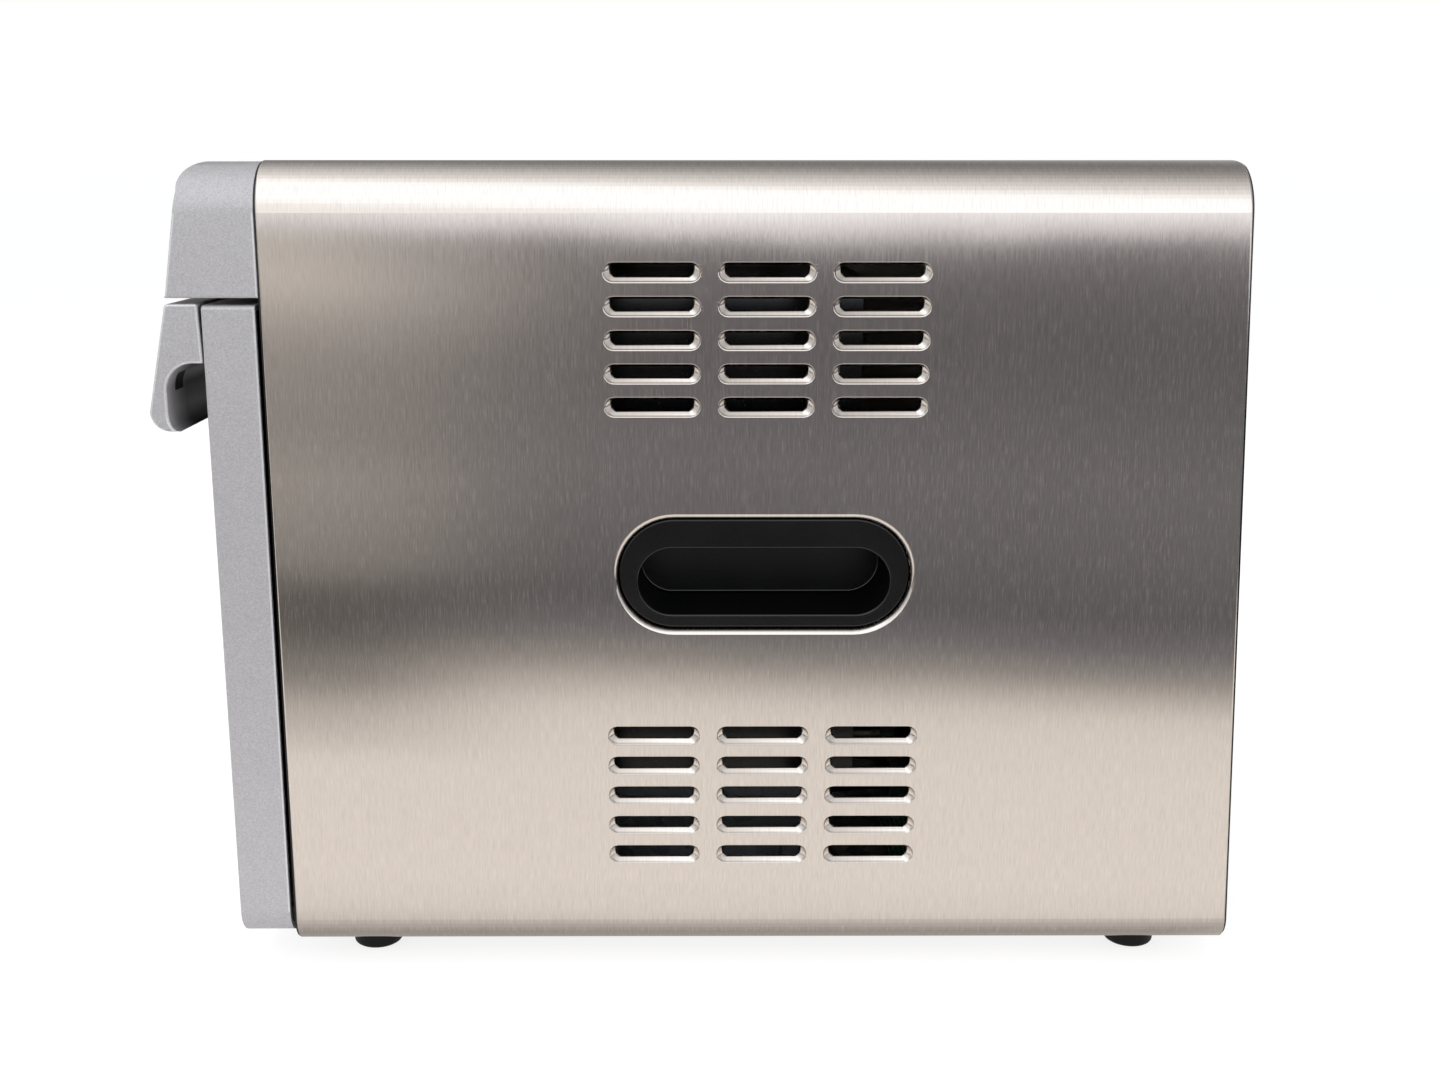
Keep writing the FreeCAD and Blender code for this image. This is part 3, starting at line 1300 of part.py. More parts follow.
def make_motor_bracket():
    half = MOTOR_RADIUS + 12
    y0 = MOTOR_CENTRE_Y - MOTOR_RADIUS - 8
    y1 = MOTOR_CENTRE_Y + MOTOR_RADIUS + 8
    top = box(-half, half, y0, y1, MOTOR_MOUNT_RISE, motor_bottom)
    legs = []
    for side in (-1, 1):
        x = side * (half - 1)
        legs.append(box(x - 1, x + 1, y0, y1, base_top, motor_bottom))
        legs.append(box(min(x, x + side * 14), max(x, x + side * 14), y0, y1, base_top, base_top + 2))
    hole = rod_z(MOTOR_SHAFT_RADIUS + 5, MOTOR_MOUNT_RISE - 1, motor_bottom + 1, 0, MOTOR_CENTRE_Y)
    return merged(top, *legs).cut(hole)


def make_power_board():
    """Mains board on stand-offs, with its relay, capacitor and terminals."""
    x0 = MOTOR_RADIUS + 42
    x1 = half_width - 24
    y0 = chamber_back + 22
    y1 = rear_edge(case_bottom) - INLET_DEPTH - 22
    top = base_top + 8
    board = box(x0, x1, y0, y1, top, top + BOARD_THICKNESS)
    stand_offs = [rod_z(3, base_top, top + 0.5, x, y) for x in (x0 + 6, x1 - 6) for y in (y0 + 6, y1 - 6)]
    face = top + BOARD_THICKNESS - 0.5
    relay = box(x0 + 14, x0 + 34, y0 + 14, y0 + 30, face, face + 16)
    capacitor = rod_z(9, face, face + 24, x1 - 22, y0 + 24)
    terminals = box(x0 + 14, x1 - 14, y1 - 20, y1 - 10, face, face + 11)
    return merged(board, relay, capacitor, terminals, *stand_offs)


# ---- paddle ----
def make_pan_shaft():
    """Shaft through the pan's floor, flatted at the top for the paddle."""
    top = paddle_low + PADDLE_HUB - 2
    shaft = rod_z(SHAFT_RADIUS, mesh_top + 0.5, top)
    flat_low = paddle_low + 1
    y = PAN_CENTRE_Y
    return shaft.cut(box(SHAFT_RADIUS - 1.5, SHAFT_RADIUS + 1, y - 10, y + 10, flat_low, top + 1))


def make_driven_coupling():
    low = mesh_top + 0.5
    high = pan_bottom - BUSH_REACH - BODY_GAP
    disc = rod_z(COUPLING_RADIUS, low, high)
    bore = rod_z(SHAFT_RADIUS, low - 1, high + 1)
    return merged(disc, *dogs(90, drive_top + 0.5, low + 1)).cut(bore)


def make_paddle():
    """Kneading paddle: a sloped fin on a hub that slips over the flatted shaft."""
    low = paddle_low
    hub = rod_z(SHAFT_RADIUS + 4, low, low + PADDLE_HUB)
    y = PAN_CENTRE_Y - PADDLE_THICKNESS / 2
    outline = [
        (SHAFT_RADIUS, low),
        (PADDLE_LENGTH, low),
        (PADDLE_LENGTH - 4, low + PADDLE_HEIGHT * 0.7),
        (PADDLE_LENGTH * 0.55, low + PADDLE_HEIGHT),
        (SHAFT_RADIUS, low + PADDLE_HUB - 2),
    ]
    points = [Vector(x, y, z) for x, z in outline]
    fin = Part.Face(Part.makePolygon(points + [points[0]])).extrude(Vector(0, PADDLE_THICKNESS, 0))
    return merged(hub, fin).cut(make_pan_shaft())


# ---- assembly ----
def make_parts():
    parts = {
        "casing": make_casing(),
        "base_plate": make_base_plate(),
        "feet": Part.makeCompound([make_foot(x, y) for x, y in foot_places()]),
        "front_frame": make_front_frame(),
        "strike_plate": make_strike_plate(),
        "rear_panel": make_rear_panel(),
        "rear_screws": make_rear_screws(),
        "appliance_inlet": make_inlet(),
        "fascia": make_fascia(),
        "display_lens": make_display_lens(),
        "control_board": make_control_board(),
        "power_board": make_power_board(),
        "chamber": make_chamber(),
        "chamber_rails": make_chamber_rails(),
        "heating_element": make_heater(),
        "heater_clips": make_heater_clips(),
        "temperature_sensor": make_sensor(),
        "pan_seat": make_pan_seat(),
        "bearing_housing": make_bearing_housing(),
        "shaft_bush": make_shaft_bush(),
        "motor_bracket": make_motor_bracket(),
        "motor": make_motor(),
        "drive_belt": make_belt(),
        "drive_shaft": make_drive_shaft(),
        "drive_coupling": make_drive_coupling(),
        "drive_pulley": make_drive_pulley(),
        "motor_shaft": make_motor_shaft(),
        "motor_pulley": make_motor_pulley(),
        "door_shell": make_door_shell(),
        "door_liner": make_door_liner(),
        "door_outer_glass": window_slab(door_front + DOOR_WALL, door_front + DOOR_WALL + GLASS, GLASS_LAP),
        "door_inner_glass": window_slab(door_back - DOOR_LINER - GLASS, door_back - DOOR_LINER, GLASS_LAP),
        "door_gasket": make_door_gasket(),
        "door_hinge_pins": make_hinge_pins(),
        "door_handle": make_handle(),
        "handle_pins": make_handle_pins(),
        "latch_hook": make_latch_hook(),
        "latch_pin": make_latch_pin(),
        "bread_pan": make_bread_pan(),
        "pan_skirt": make_pan_skirt(),
        "pan_bush": make_pan_bush(),
        "pan_bail": make_bail(),
        "pan_shaft": make_pan_shaft(),
        "driven_coupling": make_driven_coupling(),
        "kneading_paddle": make_paddle(),
        "start_button": make_round_button(side_control_x),
        "stop_button": make_round_button(-side_control_x),
    }
    for name, side in (("left", -1), ("right", 1)):
        parts["carry_insert_" + name] = make_carry_insert(side)
        parts["hinge_bracket_" + name] = make_hinge_bracket(side)
    for number, x in enumerate(sorted(button_xs()), 1):
        parts[f"button_{number}"] = make_button(x)
    return parts


def write_parts():
    parts = make_parts()
    whole = Part.makeCompound(list(parts.values())).optimalBoundingBox(False, False)
    home = Vector(0, -(whole.YMin + whole.YMax) / 2, 0)
    os.makedirs("parts", exist_ok=True)
    for name, shape in parts.items():
        shape.translated(home).exportStep(f"parts/{name}.step")
    return parts, home


parts, home = write_parts()
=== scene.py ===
import json
from math import atan, copysign, cos, pi, radians, sin, sqrt, tau

import bmesh
import bpy
from mathutils import Matrix, Vector
from numpy import interp

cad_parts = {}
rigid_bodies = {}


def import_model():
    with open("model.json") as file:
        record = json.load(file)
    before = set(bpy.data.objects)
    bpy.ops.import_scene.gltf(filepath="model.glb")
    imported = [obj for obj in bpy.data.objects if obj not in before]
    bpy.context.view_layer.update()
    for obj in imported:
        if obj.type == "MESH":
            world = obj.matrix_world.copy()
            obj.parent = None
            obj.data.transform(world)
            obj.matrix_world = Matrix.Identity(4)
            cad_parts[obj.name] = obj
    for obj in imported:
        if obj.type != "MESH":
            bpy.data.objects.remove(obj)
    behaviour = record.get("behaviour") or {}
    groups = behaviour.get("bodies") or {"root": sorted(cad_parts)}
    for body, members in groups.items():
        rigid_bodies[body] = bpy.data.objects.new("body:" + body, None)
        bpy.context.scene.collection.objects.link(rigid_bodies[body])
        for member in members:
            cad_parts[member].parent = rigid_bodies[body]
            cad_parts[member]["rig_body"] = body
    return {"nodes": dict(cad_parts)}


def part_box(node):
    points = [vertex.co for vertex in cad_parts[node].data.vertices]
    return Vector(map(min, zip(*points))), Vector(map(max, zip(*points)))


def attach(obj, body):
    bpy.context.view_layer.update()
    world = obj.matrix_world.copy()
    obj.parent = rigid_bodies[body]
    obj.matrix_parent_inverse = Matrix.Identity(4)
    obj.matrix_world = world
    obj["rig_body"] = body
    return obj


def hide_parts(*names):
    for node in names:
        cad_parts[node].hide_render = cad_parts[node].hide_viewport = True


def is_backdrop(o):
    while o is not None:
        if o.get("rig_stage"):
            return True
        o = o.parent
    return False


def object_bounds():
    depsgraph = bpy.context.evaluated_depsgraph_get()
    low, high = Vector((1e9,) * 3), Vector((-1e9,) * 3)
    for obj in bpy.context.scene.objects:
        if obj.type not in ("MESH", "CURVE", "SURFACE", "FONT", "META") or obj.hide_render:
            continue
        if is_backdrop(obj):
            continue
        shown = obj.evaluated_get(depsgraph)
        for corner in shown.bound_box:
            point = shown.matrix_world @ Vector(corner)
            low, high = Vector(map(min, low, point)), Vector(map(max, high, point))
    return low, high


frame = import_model()
cad_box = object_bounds()
scene = bpy.context.scene
scene.view_settings.view_transform = "Standard"

# ---- Where it is seen from ----
# A table-top view of the machine's right side: the camera stands a short arm's length off the casing,
# level with its top, and looks slightly down.
MM = 0.001
EYE_OFF_SIDE = 652.7 * MM
EYE_FROM_FRONT = 169.7 * MM
EYE_RISE = 332.05 * MM
EYE_YAW = radians(0.2)
EYE_PITCH = radians(12.9)
case_low, case_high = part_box("casing")
camera_data = bpy.data.cameras.new("side_camera")
camera_data.sensor_width = 36.0
camera_data.lens = 40.02
camera_data.shift_x = 0.0245
camera = bpy.data.objects.new("side_camera", camera_data)
scene.collection.objects.link(camera)
camera.location = (case_high.x + EYE_OFF_SIDE, case_low.y + EYE_FROM_FRONT, case_low.z + EYE_RISE)
looking = Vector((
    -cos(EYE_YAW) * cos(EYE_PITCH),
    sin(EYE_YAW) * cos(EYE_PITCH),
    -sin(EYE_PITCH),
))
camera.rotation_mode = "QUATERNION"
camera.rotation_quaternion = looking.to_track_quat("-Z", "Y")
scene.camera = camera


# ---- The white table and the studio round it ----
# A pale matt table top. Near the machine polished metal sees it white, further out it sees the unlit room,
# and above the horizon it sees the big white softboxes under a dimmer ceiling. That room is there for polished
# metal alone: matt surfaces get plain light, the camera sees white, and its bands are set for the first view.
def linear(code):
    """A colour written as sRGB hex, as the linear values that a node takes."""
    channels = [int(code[i:i + 2], 16) / 255 for i in (1, 3, 5)]
    return tuple(c / 12.92 if c <= 0.04045 else ((c + 0.055) / 1.055) ** 2.4 for c in channels) + (1.0,)


def add(tree, kind, inputs=None, stops=None, **settings):
    """Adds one node with its settings. A kind without "Node" in it is a shader node's; an input or a ramp's stop
    takes a value, a hex colour, a socket or a node's first output."""
    made = tree.nodes.new(kind if "Node" in kind else "ShaderNode" + kind)
    for name, value in settings.items():
        setattr(made, name, value)
    for name, value in (inputs or {}).items():
        if isinstance(value, bpy.types.Node):
            value = value.outputs[0]
        if isinstance(value, bpy.types.NodeSocket):
            tree.links.new(value, made.inputs[name])
        else:
            made.inputs[name].default_value = linear(value) if isinstance(value, str) else value
    for place, (position, value) in enumerate(stops or []):
        elements = made.color_ramp.elements
        element = elements[place] if place < 2 else elements.new(position)
        element.position = position
        if isinstance(value, str):
            value = linear(value)
        element.color = value if isinstance(value, tuple) else (value, value, value, 1.0)
    return made


def by_ray(tree, plain, mirrored, direct):
    """One shader for the light on matt surfaces, one for what polished ones see, and one for the camera."""
    ray = add(tree, "LightPath")
    polished = {0: ray.outputs["Is Glossy Ray"], 1: ray.outputs["Is Transmission Ray"]}
    polished = add(tree, "Math", polished, operation="MAXIMUM")
    lit = add(tree, "MixShader", {0: polished, 1: plain, 2: mirrored})
    return add(tree, "MixShader", {0: ray.outputs["Is Camera Ray"], 1: lit, 2: direct})


world = bpy.data.worlds.new("studio")
world.use_nodes = True
scene.world = world
sky = world.node_tree
sky.nodes.clear()
direction = add(sky, "SeparateXYZ", {0: add(sky, "TexCoord").outputs["Generated"]})
# the sky goes by its angle over the machine, from the right-hand horizon (0) to the left-hand one (1)
LEAN_TO_BACK = 0.45
over = add(sky, "Math", {0: direction.outputs["Z"], 1: direction.outputs["X"]}, operation="ARCTAN2")
over = add(sky, "Math", {0: over, 1: pi}, operation="DIVIDE")
over = add(sky, "Math", {0: direction.outputs["Y"], 1: LEAN_TO_BACK, 2: over}, operation="MULTIPLY_ADD")
SOFTBOX = (1.5, 1.58, 1.66, 1.0)
sky_stops = [
    (0.0, 1.25), (1.0, 0.42), (0.005, 1.25), (0.014, SOFTBOX), (0.30, SOFTBOX), (0.34, 1.27), (0.39, 1.04),
    (0.49, 0.78), (0.60, 0.48), (0.71, 0.30), (0.82, 0.24), (0.93, 0.32),
]
overhead = add(sky, "ValToRGB", {0: over}, stops=sky_stops)
# towards the two ends of the room the softboxes stop, and the walls are a plain grey that pales to the horizon
end_wall = add(sky, "MapRange", {"Value": direction.outputs["Z"], "To Min": 0.70, "To Max": 0.42})
endwards = add(sky, "Math", {0: direction.outputs["Y"]}, operation="ABSOLUTE")
endwards = add(sky, "MapRange", {"Value": endwards, "From Min": 0.50, "From Max": 0.80})
seen_by_metal = add(sky, "Mix", {"Factor": endwards, 6: overhead, 7: end_wall}, data_type="RGBA").outputs[2]
plain = add(sky, "Background", {"Color": "#f4f6fa", "Strength": 0.72})
mirrored = add(sky, "Background", {"Color": seen_by_metal})
backdrop = add(sky, "Background", {"Color": "#ffffff"})
add(sky, "OutputWorld", {"Surface": by_ray(sky, plain, mirrored, backdrop)})


def new_material(name):
    """An empty material, its tree, and the place on the piece, which most patterns go by."""
    made = bpy.data.materials.new(name)
    made.use_nodes = True
    tree = made.node_tree
    tree.nodes.clear()
    return made, tree, add(tree, "TexCoord").outputs["Object"]


TABLE_REACH = 60.0
floor_mesh = bpy.data.meshes.new("table_top")
corners = [(sx * TABLE_REACH, sy * TABLE_REACH, 0) for sx, sy in ((-1, -1), (1, -1), (1, 1), (-1, 1))]
floor_mesh.from_pydata(corners, [], [(0, 1, 2, 3)])
floor = bpy.data.objects.new("table_top", floor_mesh)
scene.collection.objects.link(floor)
floor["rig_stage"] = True
table, tree, place = new_material("matt_white_table")
place = add(tree, "SeparateXYZ", {0: place})
beyond = []
for axis, reach in (("X", case_high.x), ("Y", (case_high.y - case_low.y) / 2)):
    off = add(tree, "Math", {0: place.outputs[axis]}, operation="ABSOLUTE")
    past = add(tree, "Math", {0: off, 1: reach}, operation="SUBTRACT")
    beyond.append(add(tree, "Math", {0: past, 1: 0.0}, operation="MAXIMUM"))
beyond_side, beyond_end = beyond
# in front of a side only the distance off it counts, and past the ends the distance off them takes over
PAST_END_SHARE = 0.35
away = add(tree, "Math", {0: beyond_end, 1: PAST_END_SHARE}, operation="MULTIPLY")
away = add(tree, "Math", {0: beyond_side, 1: away}, operation="MAXIMUM")
# distance d in metres comes to the ramps as d / (d + 1), so that the far room fits on them
share = add(tree, "Math", {0: away, 1: add(tree, "Math", {0: away, 1: 1.0})}, operation="DIVIDE")
# the bands are laid out about the camera's first standpoint and stay there when it moves: a bearing from it is
# a slope along the machine
back = add(tree, "Math", {0: place.outputs["Y"], 1: case_low.y + EYE_FROM_FRONT}, operation="SUBTRACT")
reach = add(tree, "Math", {0: beyond_side, 1: EYE_OFF_SIDE})
bearing = add(tree, "Math", {0: back, 1: reach}, operation="DIVIDE")
# the bands lie a little askew, the far ones less than the near ones
FAR_SKEW = 0.05
NEAR_SKEW = 0.25
NEAR_START = 0.9825
tilt = add(tree, "Math", {0: bearing, 1: FAR_SKEW, 2: 1.0}, operation="MULTIPLY_ADD")
far_share = add(tree, "Math", {0: share, 1: tilt}, operation="MULTIPLY")
skew = add(tree, "Math", {0: bearing, 1: NEAR_SKEW, 2: NEAR_START}, operation="MULTIPLY_ADD")
share = add(tree, "Math", {0: share, 1: skew}, operation="MULTIPLY")
WARM = (1.0, 0.955, 0.91)
COOL = (1.0, 0.985, 1.05)
DAYLIGHT = (1.45, 1.50, 1.56, 1.0)


def toned(levels, tone):
    """A ramp's stops: each level of grey in a warm or cool tone."""
    return [(at, tuple(level * c for c in tone) + (1.0,)) for at, level in levels]


# the lit table near the machine, then the dim room, towards its back and towards its front
behind_stops = toned([(0.0, 0.42)], WARM) + toned([(1.0, 0.26)], COOL) + toned([
    (0.012, 0.56), (0.030, 0.68), (0.044, 0.82), (0.056, 0.95), (0.085, 1.0), (0.19, 0.98), (0.245, 0.93),
    (0.266, 0.84), (0.288, 0.62), (0.312, 0.36),
], WARM) + toned([
    (0.345, 0.21), (0.385, 0.145), (0.47, 0.18), (0.56, 0.20), (0.68, 0.165), (0.76, 0.15), (0.84, 0.16),
], COOL)
in_front_stops = toned([
    (0.0, 0.42), (1.0, 0.50), (0.012, 0.56), (0.030, 0.68), (0.044, 0.80), (0.056, 0.94), (0.085, 1.0),
    (0.19, 0.97), (0.21, 0.80), (0.225, 0.70), (0.24, 0.62), (0.258, 0.46), (0.275, 0.28), (0.30, 0.24),
    (0.33, 0.14), (0.37, 0.15), (0.405, 0.34), (0.50, 0.44), (0.56, 0.36), (0.65, 0.42), (0.71, 0.62),
    (0.75, 0.84), (0.80, 0.74), (0.835, 0.54),
], WARM)
room_behind = add(tree, "ValToRGB", {0: share}, stops=behind_stops)
room_in_front = add(tree, "ValToRGB", {0: share}, stops=in_front_stops)
frontwards = add(tree, "MapRange", {"Value": bearing, "From Min": -0.09, "From Max": -0.215})
near_room = {"Factor": frontwards, 6: room_behind, 7: room_in_front}
near_room = add(tree, "Mix", near_room, data_type="RGBA").outputs[2]
# the bright far end of the room, with a thin dark line across it
far_stops = toned([(0.0, 0.85)], COOL) + [(1.0, DAYLIGHT)] + toned([
    (0.903, 0.98), (0.910, 1.15), (0.918, 1.10), (0.9225, 0.55), (0.9255, 0.55), (0.930, 1.2),
], COOL) + [(0.940, DAYLIGHT)]
far_room = add(tree, "ValToRGB", {0: far_share}, stops=far_stops)
how_far = add(tree, "MapRange", {"Value": far_share, "From Min": 0.8985, "From Max": 0.9025})
table_seen = add(tree, "Mix", {"Factor": how_far, 6: near_room, 7: far_room}, data_type="RGBA").outputs[2]
# a pool of light on the table round the machine brightens the foot of its painted parts
POOL_REACH = 0.32
pool = add(tree, "MapRange", {"Value": away, "From Max": POOL_REACH, "To Min": 1.05, "To Max": 0.0})
matt = add(tree, "BsdfDiffuse", {"Color": "#f2f2f2"})
pooled = add(tree, "AddShader", {0: matt, 1: add(tree, "Emission", {"Strength": pool})})
reflected = add(tree, "Emission", {"Color": table_seen})
# the camera sees a table that is white by itself, with room left for the machine's shadow
matt_part = add(tree, "BsdfDiffuse", {"Color": (0.30, 0.30, 0.30, 1.0)})
shadowed_white = add(tree, "AddShader", {0: matt_part, 1: add(tree, "Emission", {"Strength": 0.80})})
add(tree, "OutputMaterial", {"Surface": by_ray(tree, pooled, reflected, shadowed_white)})
floor_mesh.materials.append(table)

MIDDLE = Vector((0, 0, 0.15))
for name, spot, size, power in (
    ("top_softbox", (0.2, -0.2, 1.6), 1.4, 9.0),
    ("right_softbox", (1.7, -0.5, 1.1), 1.2, 7.0),
    ("left_softbox", (-1.7, -0.3, 1.1), 1.2, 6.0),
    ("rear_edge_light", (0.9, 1.7, 0.7), 0.5, 8.0),
    ("front_edge_light", (1.0, -1.6, 0.5), 0.5, 6.0),
):
    lamp_data = bpy.data.lights.new(name, "AREA")
    lamp_data.size = size
    lamp_data.energy = power
    lamp = bpy.data.objects.new(name, lamp_data)
    lamp.location = spot
    lamp.rotation_mode = "QUATERNION"
    lamp.rotation_quaternion = (MIDDLE - Vector(spot)).to_track_quat("-Z", "Y")
    lamp.visible_glossy = False
    scene.collection.objects.link(lamp)


# ---- Casing ----
# One sheet of 0.8 mm stainless steel, with a satin brushing that runs up the sides and across the top. It wraps
# over the top and both sides and turns in under the base. Sixty vents and two carry recesses are pressed into
# its sides, and it hangs on the front frame and four screws at the back.
SHEET = 0.8 * MM
TOP_BEND = 20.5 * MM
BOTTOM_BEND = 13.0 * MM
REAR_CORNER = 3.0 * MM
CASE_LENGTH = 396.0 * MM
REAR_RAKE = 12.8 * MM
FLANGE = 45.0 * MM
VENT_LENGTH = 39.1 * MM
VENT_HEIGHT = 7.8 * MM
VENT_DEPTH = 2.3 * MM
VENT_EDGE = 0.35 * MM
VENT_STEPS = 8
VENT_COLUMNS = 3
VENT_ROWS = 5
VENT_PITCH_Y = 46.5 * MM
VENT_PITCH_Z = 13.6 * MM
VENT_CENTRE_Y = 203.9 * MM
VENT_GROUP_RISE = 97.9 * MM
SLOT_HALF = 16.5 * MM
SLOT_TOP = 2.9 * MM
SLOT_BOTTOM = -1.6 * MM
SLOT_CHAMFER = 1.6 * MM
CARRY_LENGTH = 127.0 * MM
CARRY_HEIGHT = 52.0 * MM
CARRY_ROLL = 2.0 * MM
CARRY_ROLL_DEPTH = 2.4 * MM
CARRY_NECK = 2.0 * MM
CARRY_STEPS = 24

side_x = case_high.x
front_y = case_low.y
case_height = case_high.z - case_low.z
middle_z = (case_low.z + case_high.z) / 2
vents_y = front_y + VENT_CENTRE_Y


def rear_edge(z):
    """Where the sheet ends at the back: a raked line with a rounded top corner."""
    corner_z = case_high.z - REAR_CORNER
    raked = front_y + CASE_LENGTH + REAR_RAKE * (case_high.z - z) / case_height
    if z > corner_z:
        raked -= REAR_CORNER - sqrt(max(REAR_CORNER**2 - (z - corner_z) ** 2, 0.0))
    return raked


def stadium(length, height, grow, steps):
    """Points round a slot with half-round ends, from its lower right tangent, anticlockwise."""
    span = (length - height) / 2
    radius = height / 2 + grow
    points = []
    for end in (1, -1):
        for step in range(steps + 1):
            angle = radians(-90 + 180 * step / steps)
            points.append((end * (span + radius * cos(angle)), end * radius * sin(angle)))
    return points


def slot_points():
    """The pierced slot's outline, one point for each point of the vent's mouth: square above, chamfered below."""
    angles = (-90, -45, 45, 90)
    across = (SLOT_HALF - SLOT_CHAMFER, SLOT_HALF, SLOT_HALF, (VENT_LENGTH - VENT_HEIGHT) / 2)
    upwards = (SLOT_BOTTOM, SLOT_BOTTOM + SLOT_CHAMFER, SLOT_TOP, SLOT_TOP)
    right = []
    for step in range(VENT_STEPS + 1):
        angle = -90 + 180 * step / VENT_STEPS
        right.append((interp(angle, angles, across), interp(angle, angles, upwards)))
    return right + [(-u, v) for u, v in reversed(right)]


def bridged(work, rings):
    """Quads between closed rings of vertices, all of one length."""
    for low, high in zip(rings, rings[1:]):
        for i in range(len(low)):
            j = (i + 1) % len(low)
            work.faces.new((low[i], low[j], high[j], high[i])).smooth = True


# one vent, drawn in its own plane: rounded lip, then a dish that falls to the slot
LIP_SHARES = (1.0, 0.0), (0.5, 0.04 * MM), (0.1, 0.16 * MM), (-0.2, 0.36 * MM)
vent_bm = bmesh.new()
mouth_ring = stadium(VENT_LENGTH, VENT_HEIGHT, VENT_EDGE, VENT_STEPS)
vent_rings = []
for grow, lip_depth in LIP_SHARES:
    lip_ring = stadium(VENT_LENGTH, VENT_HEIGHT, grow * VENT_EDGE, VENT_STEPS)
    vent_rings.append([vent_bm.verts.new((u, v, -lip_depth)) for u, v in lip_ring])
for share_in in (0.3, 0.65, 1.0):
    depth = lip_depth + (VENT_DEPTH - lip_depth) * share_in
    points = [
        (u + (su - u) * share_in, v + (sv - v) * share_in)
        for (u, v), (su, sv) in zip(lip_ring, slot_points())
    ]
    vent_rings.append([vent_bm.verts.new((u, v, -depth)) for u, v in points])
bridged(vent_bm, vent_rings)
vent_mesh = bpy.data.meshes.new("vent_pressing")
vent_bm.to_mesh(vent_mesh)
vent_bm.free()
vent_object = bpy.data.objects.new("vent_pressing", vent_mesh)


def applied(host):
    """The plain mesh that an object's modifiers make. The object itself goes."""
    bpy.context.view_layer.update()
    mesh = bpy.data.meshes.new_from_object(host.evaluated_get(bpy.context.evaluated_depsgraph_get()))
    bpy.data.objects.remove(host)
    return mesh


def repeated(name, tree_maker, values, base=None):
    """Runs a Geometry Nodes tree with its inputs set and gives back the plain mesh that it makes."""
    group = bpy.data.node_groups.new(name, "GeometryNodeTree")
    for way in ("INPUT", "OUTPUT"):
        group.interface.new_socket("Geometry", in_out=way, socket_type="NodeSocketGeometry")
    sockets = {}
    for title, (kind, value) in values.items():
        socket = group.interface.new_socket(title, in_out="INPUT", socket_type="NodeSocket" + kind)
        sockets[title] = socket.identifier
    tree_maker(group)
    host = bpy.data.objects.new(name, base or bpy.data.meshes.new(name))
    scene.collection.objects.link(host)
    modifier = host.modifiers.new(name, "NODES")
    modifier.node_group = group
    for title, (kind, value) in values.items():
        modifier[sockets[title]] = value
    made = applied(host)
    made.name = name
    return made


def set_out(group, given, points, turn):
    """Ends a Geometry Nodes tree: the given item on each point, turned and made of the given material."""
    item = add(group, "GeometryNodeObjectInfo", {"Object": given["Item"]}).outputs["Geometry"]
    placed = add(group, "GeometryNodeInstanceOnPoints", {"Points": points, "Instance": item, "Rotation": turn})
    solid = add(group, "GeometryNodeRealizeInstances", {0: placed})
    finish = add(group, "GeometryNodeSetMaterial", {"Geometry": solid, "Material": given["Finish"]})
    add(group, "NodeGroupOutput", {0: finish})


def vent_grid(group):
    """Both groups of vents on the right side: a grid of points, turned on to the side, with a vent on each."""
    given = add(group, "NodeGroupInput").outputs
    spans = []
    for count, pitch in (("Columns", "Column pitch"), ("Rows", "Row pitch")):
        gaps = add(group, "Math", {0: given[count], 1: 1.0}, operation="SUBTRACT")
        spans.append(add(group, "Math", {0: gaps, 1: given[pitch]}, operation="MULTIPLY"))
    sizes = {"Size X": spans[0], "Size Y": spans[1], "Vertices X": given["Columns"], "Vertices Y": given["Rows"]}
    grid = add(group, "GeometryNodeMeshGrid", sizes)
    both = add(group, "GeometryNodeJoinGeometry")
    for sign in (-1.0, 1.0):
        rise = add(group, "Math", {0: given["Group rise"], 1: sign}, operation="MULTIPLY")
        lift = add(group, "CombineXYZ", {"Y": rise})
        lifted = add(group, "GeometryNodeTransform", {"Geometry": grid, "Translation": lift})
        group.links.new(lifted.outputs[0], both.inputs[0])
    # the grid is stood up on the side: its columns run along Y, its rows up Z, and each vent faces +X
    turn = (pi / 2, 0.0, pi / 2)
    on_side = {"Geometry": both, "Rotation": turn, "Translation": given["Centre"]}
    set_out(group, given, add(group, "GeometryNodeTransform", on_side), turn)


def surfaced(tree, inputs, relief=None):
    """Ends a material with its surface and the output. Relief is a pattern, its strength and its depth."""
    if relief:
        inputs["Normal"] = add(tree, "Bump", dict(zip(("Height", "Strength", "Distance"), relief)))
    add(tree, "OutputMaterial", {"Surface": add(tree, "BsdfPrincipled", inputs)})


# Brushed 430 stainless: fine parallel scratches run round the wrap, so that reflections smear along the
# casing and stay crisper up and down. A warm grey metal, faintly uneven where the sheet is not quite flat.
SCRATCH_WIDTH = 0.40 * MM    # coarser than the real 0.1 mm, which would not show
SCRATCH_LENGTH = 7.0 * MM
WAVE_LENGTH = 170.0 * MM
stainless, tree = new_material("brushed_stainless_steel")[:2]
along_wrap = add(tree, "UVMap", uv_map="wrap")
patterns = []
for width, length, detail, rough in (
    (SCRATCH_WIDTH, SCRATCH_LENGTH, 3.0, 0.6),
    (2.4 * SCRATCH_WIDTH, 7 * SCRATCH_LENGTH, 2.0, 0.5),
    (WAVE_LENGTH, WAVE_LENGTH, 1.5, 0.45),
):
    stretched = add(tree, "Mapping", {"Vector": along_wrap, "Scale": (1 / width, 1 / length, 1.0)})
    noise = {"Vector": stretched, "Scale": 1.0, "Detail": detail, "Roughness": rough}
    patterns.append(add(tree, "TexNoise", noise))
fine_scratches, long_scratches, waves = patterns
scratches = add(tree, "Mix", {"Factor": 0.2, 2: fine_scratches, 3: long_scratches})
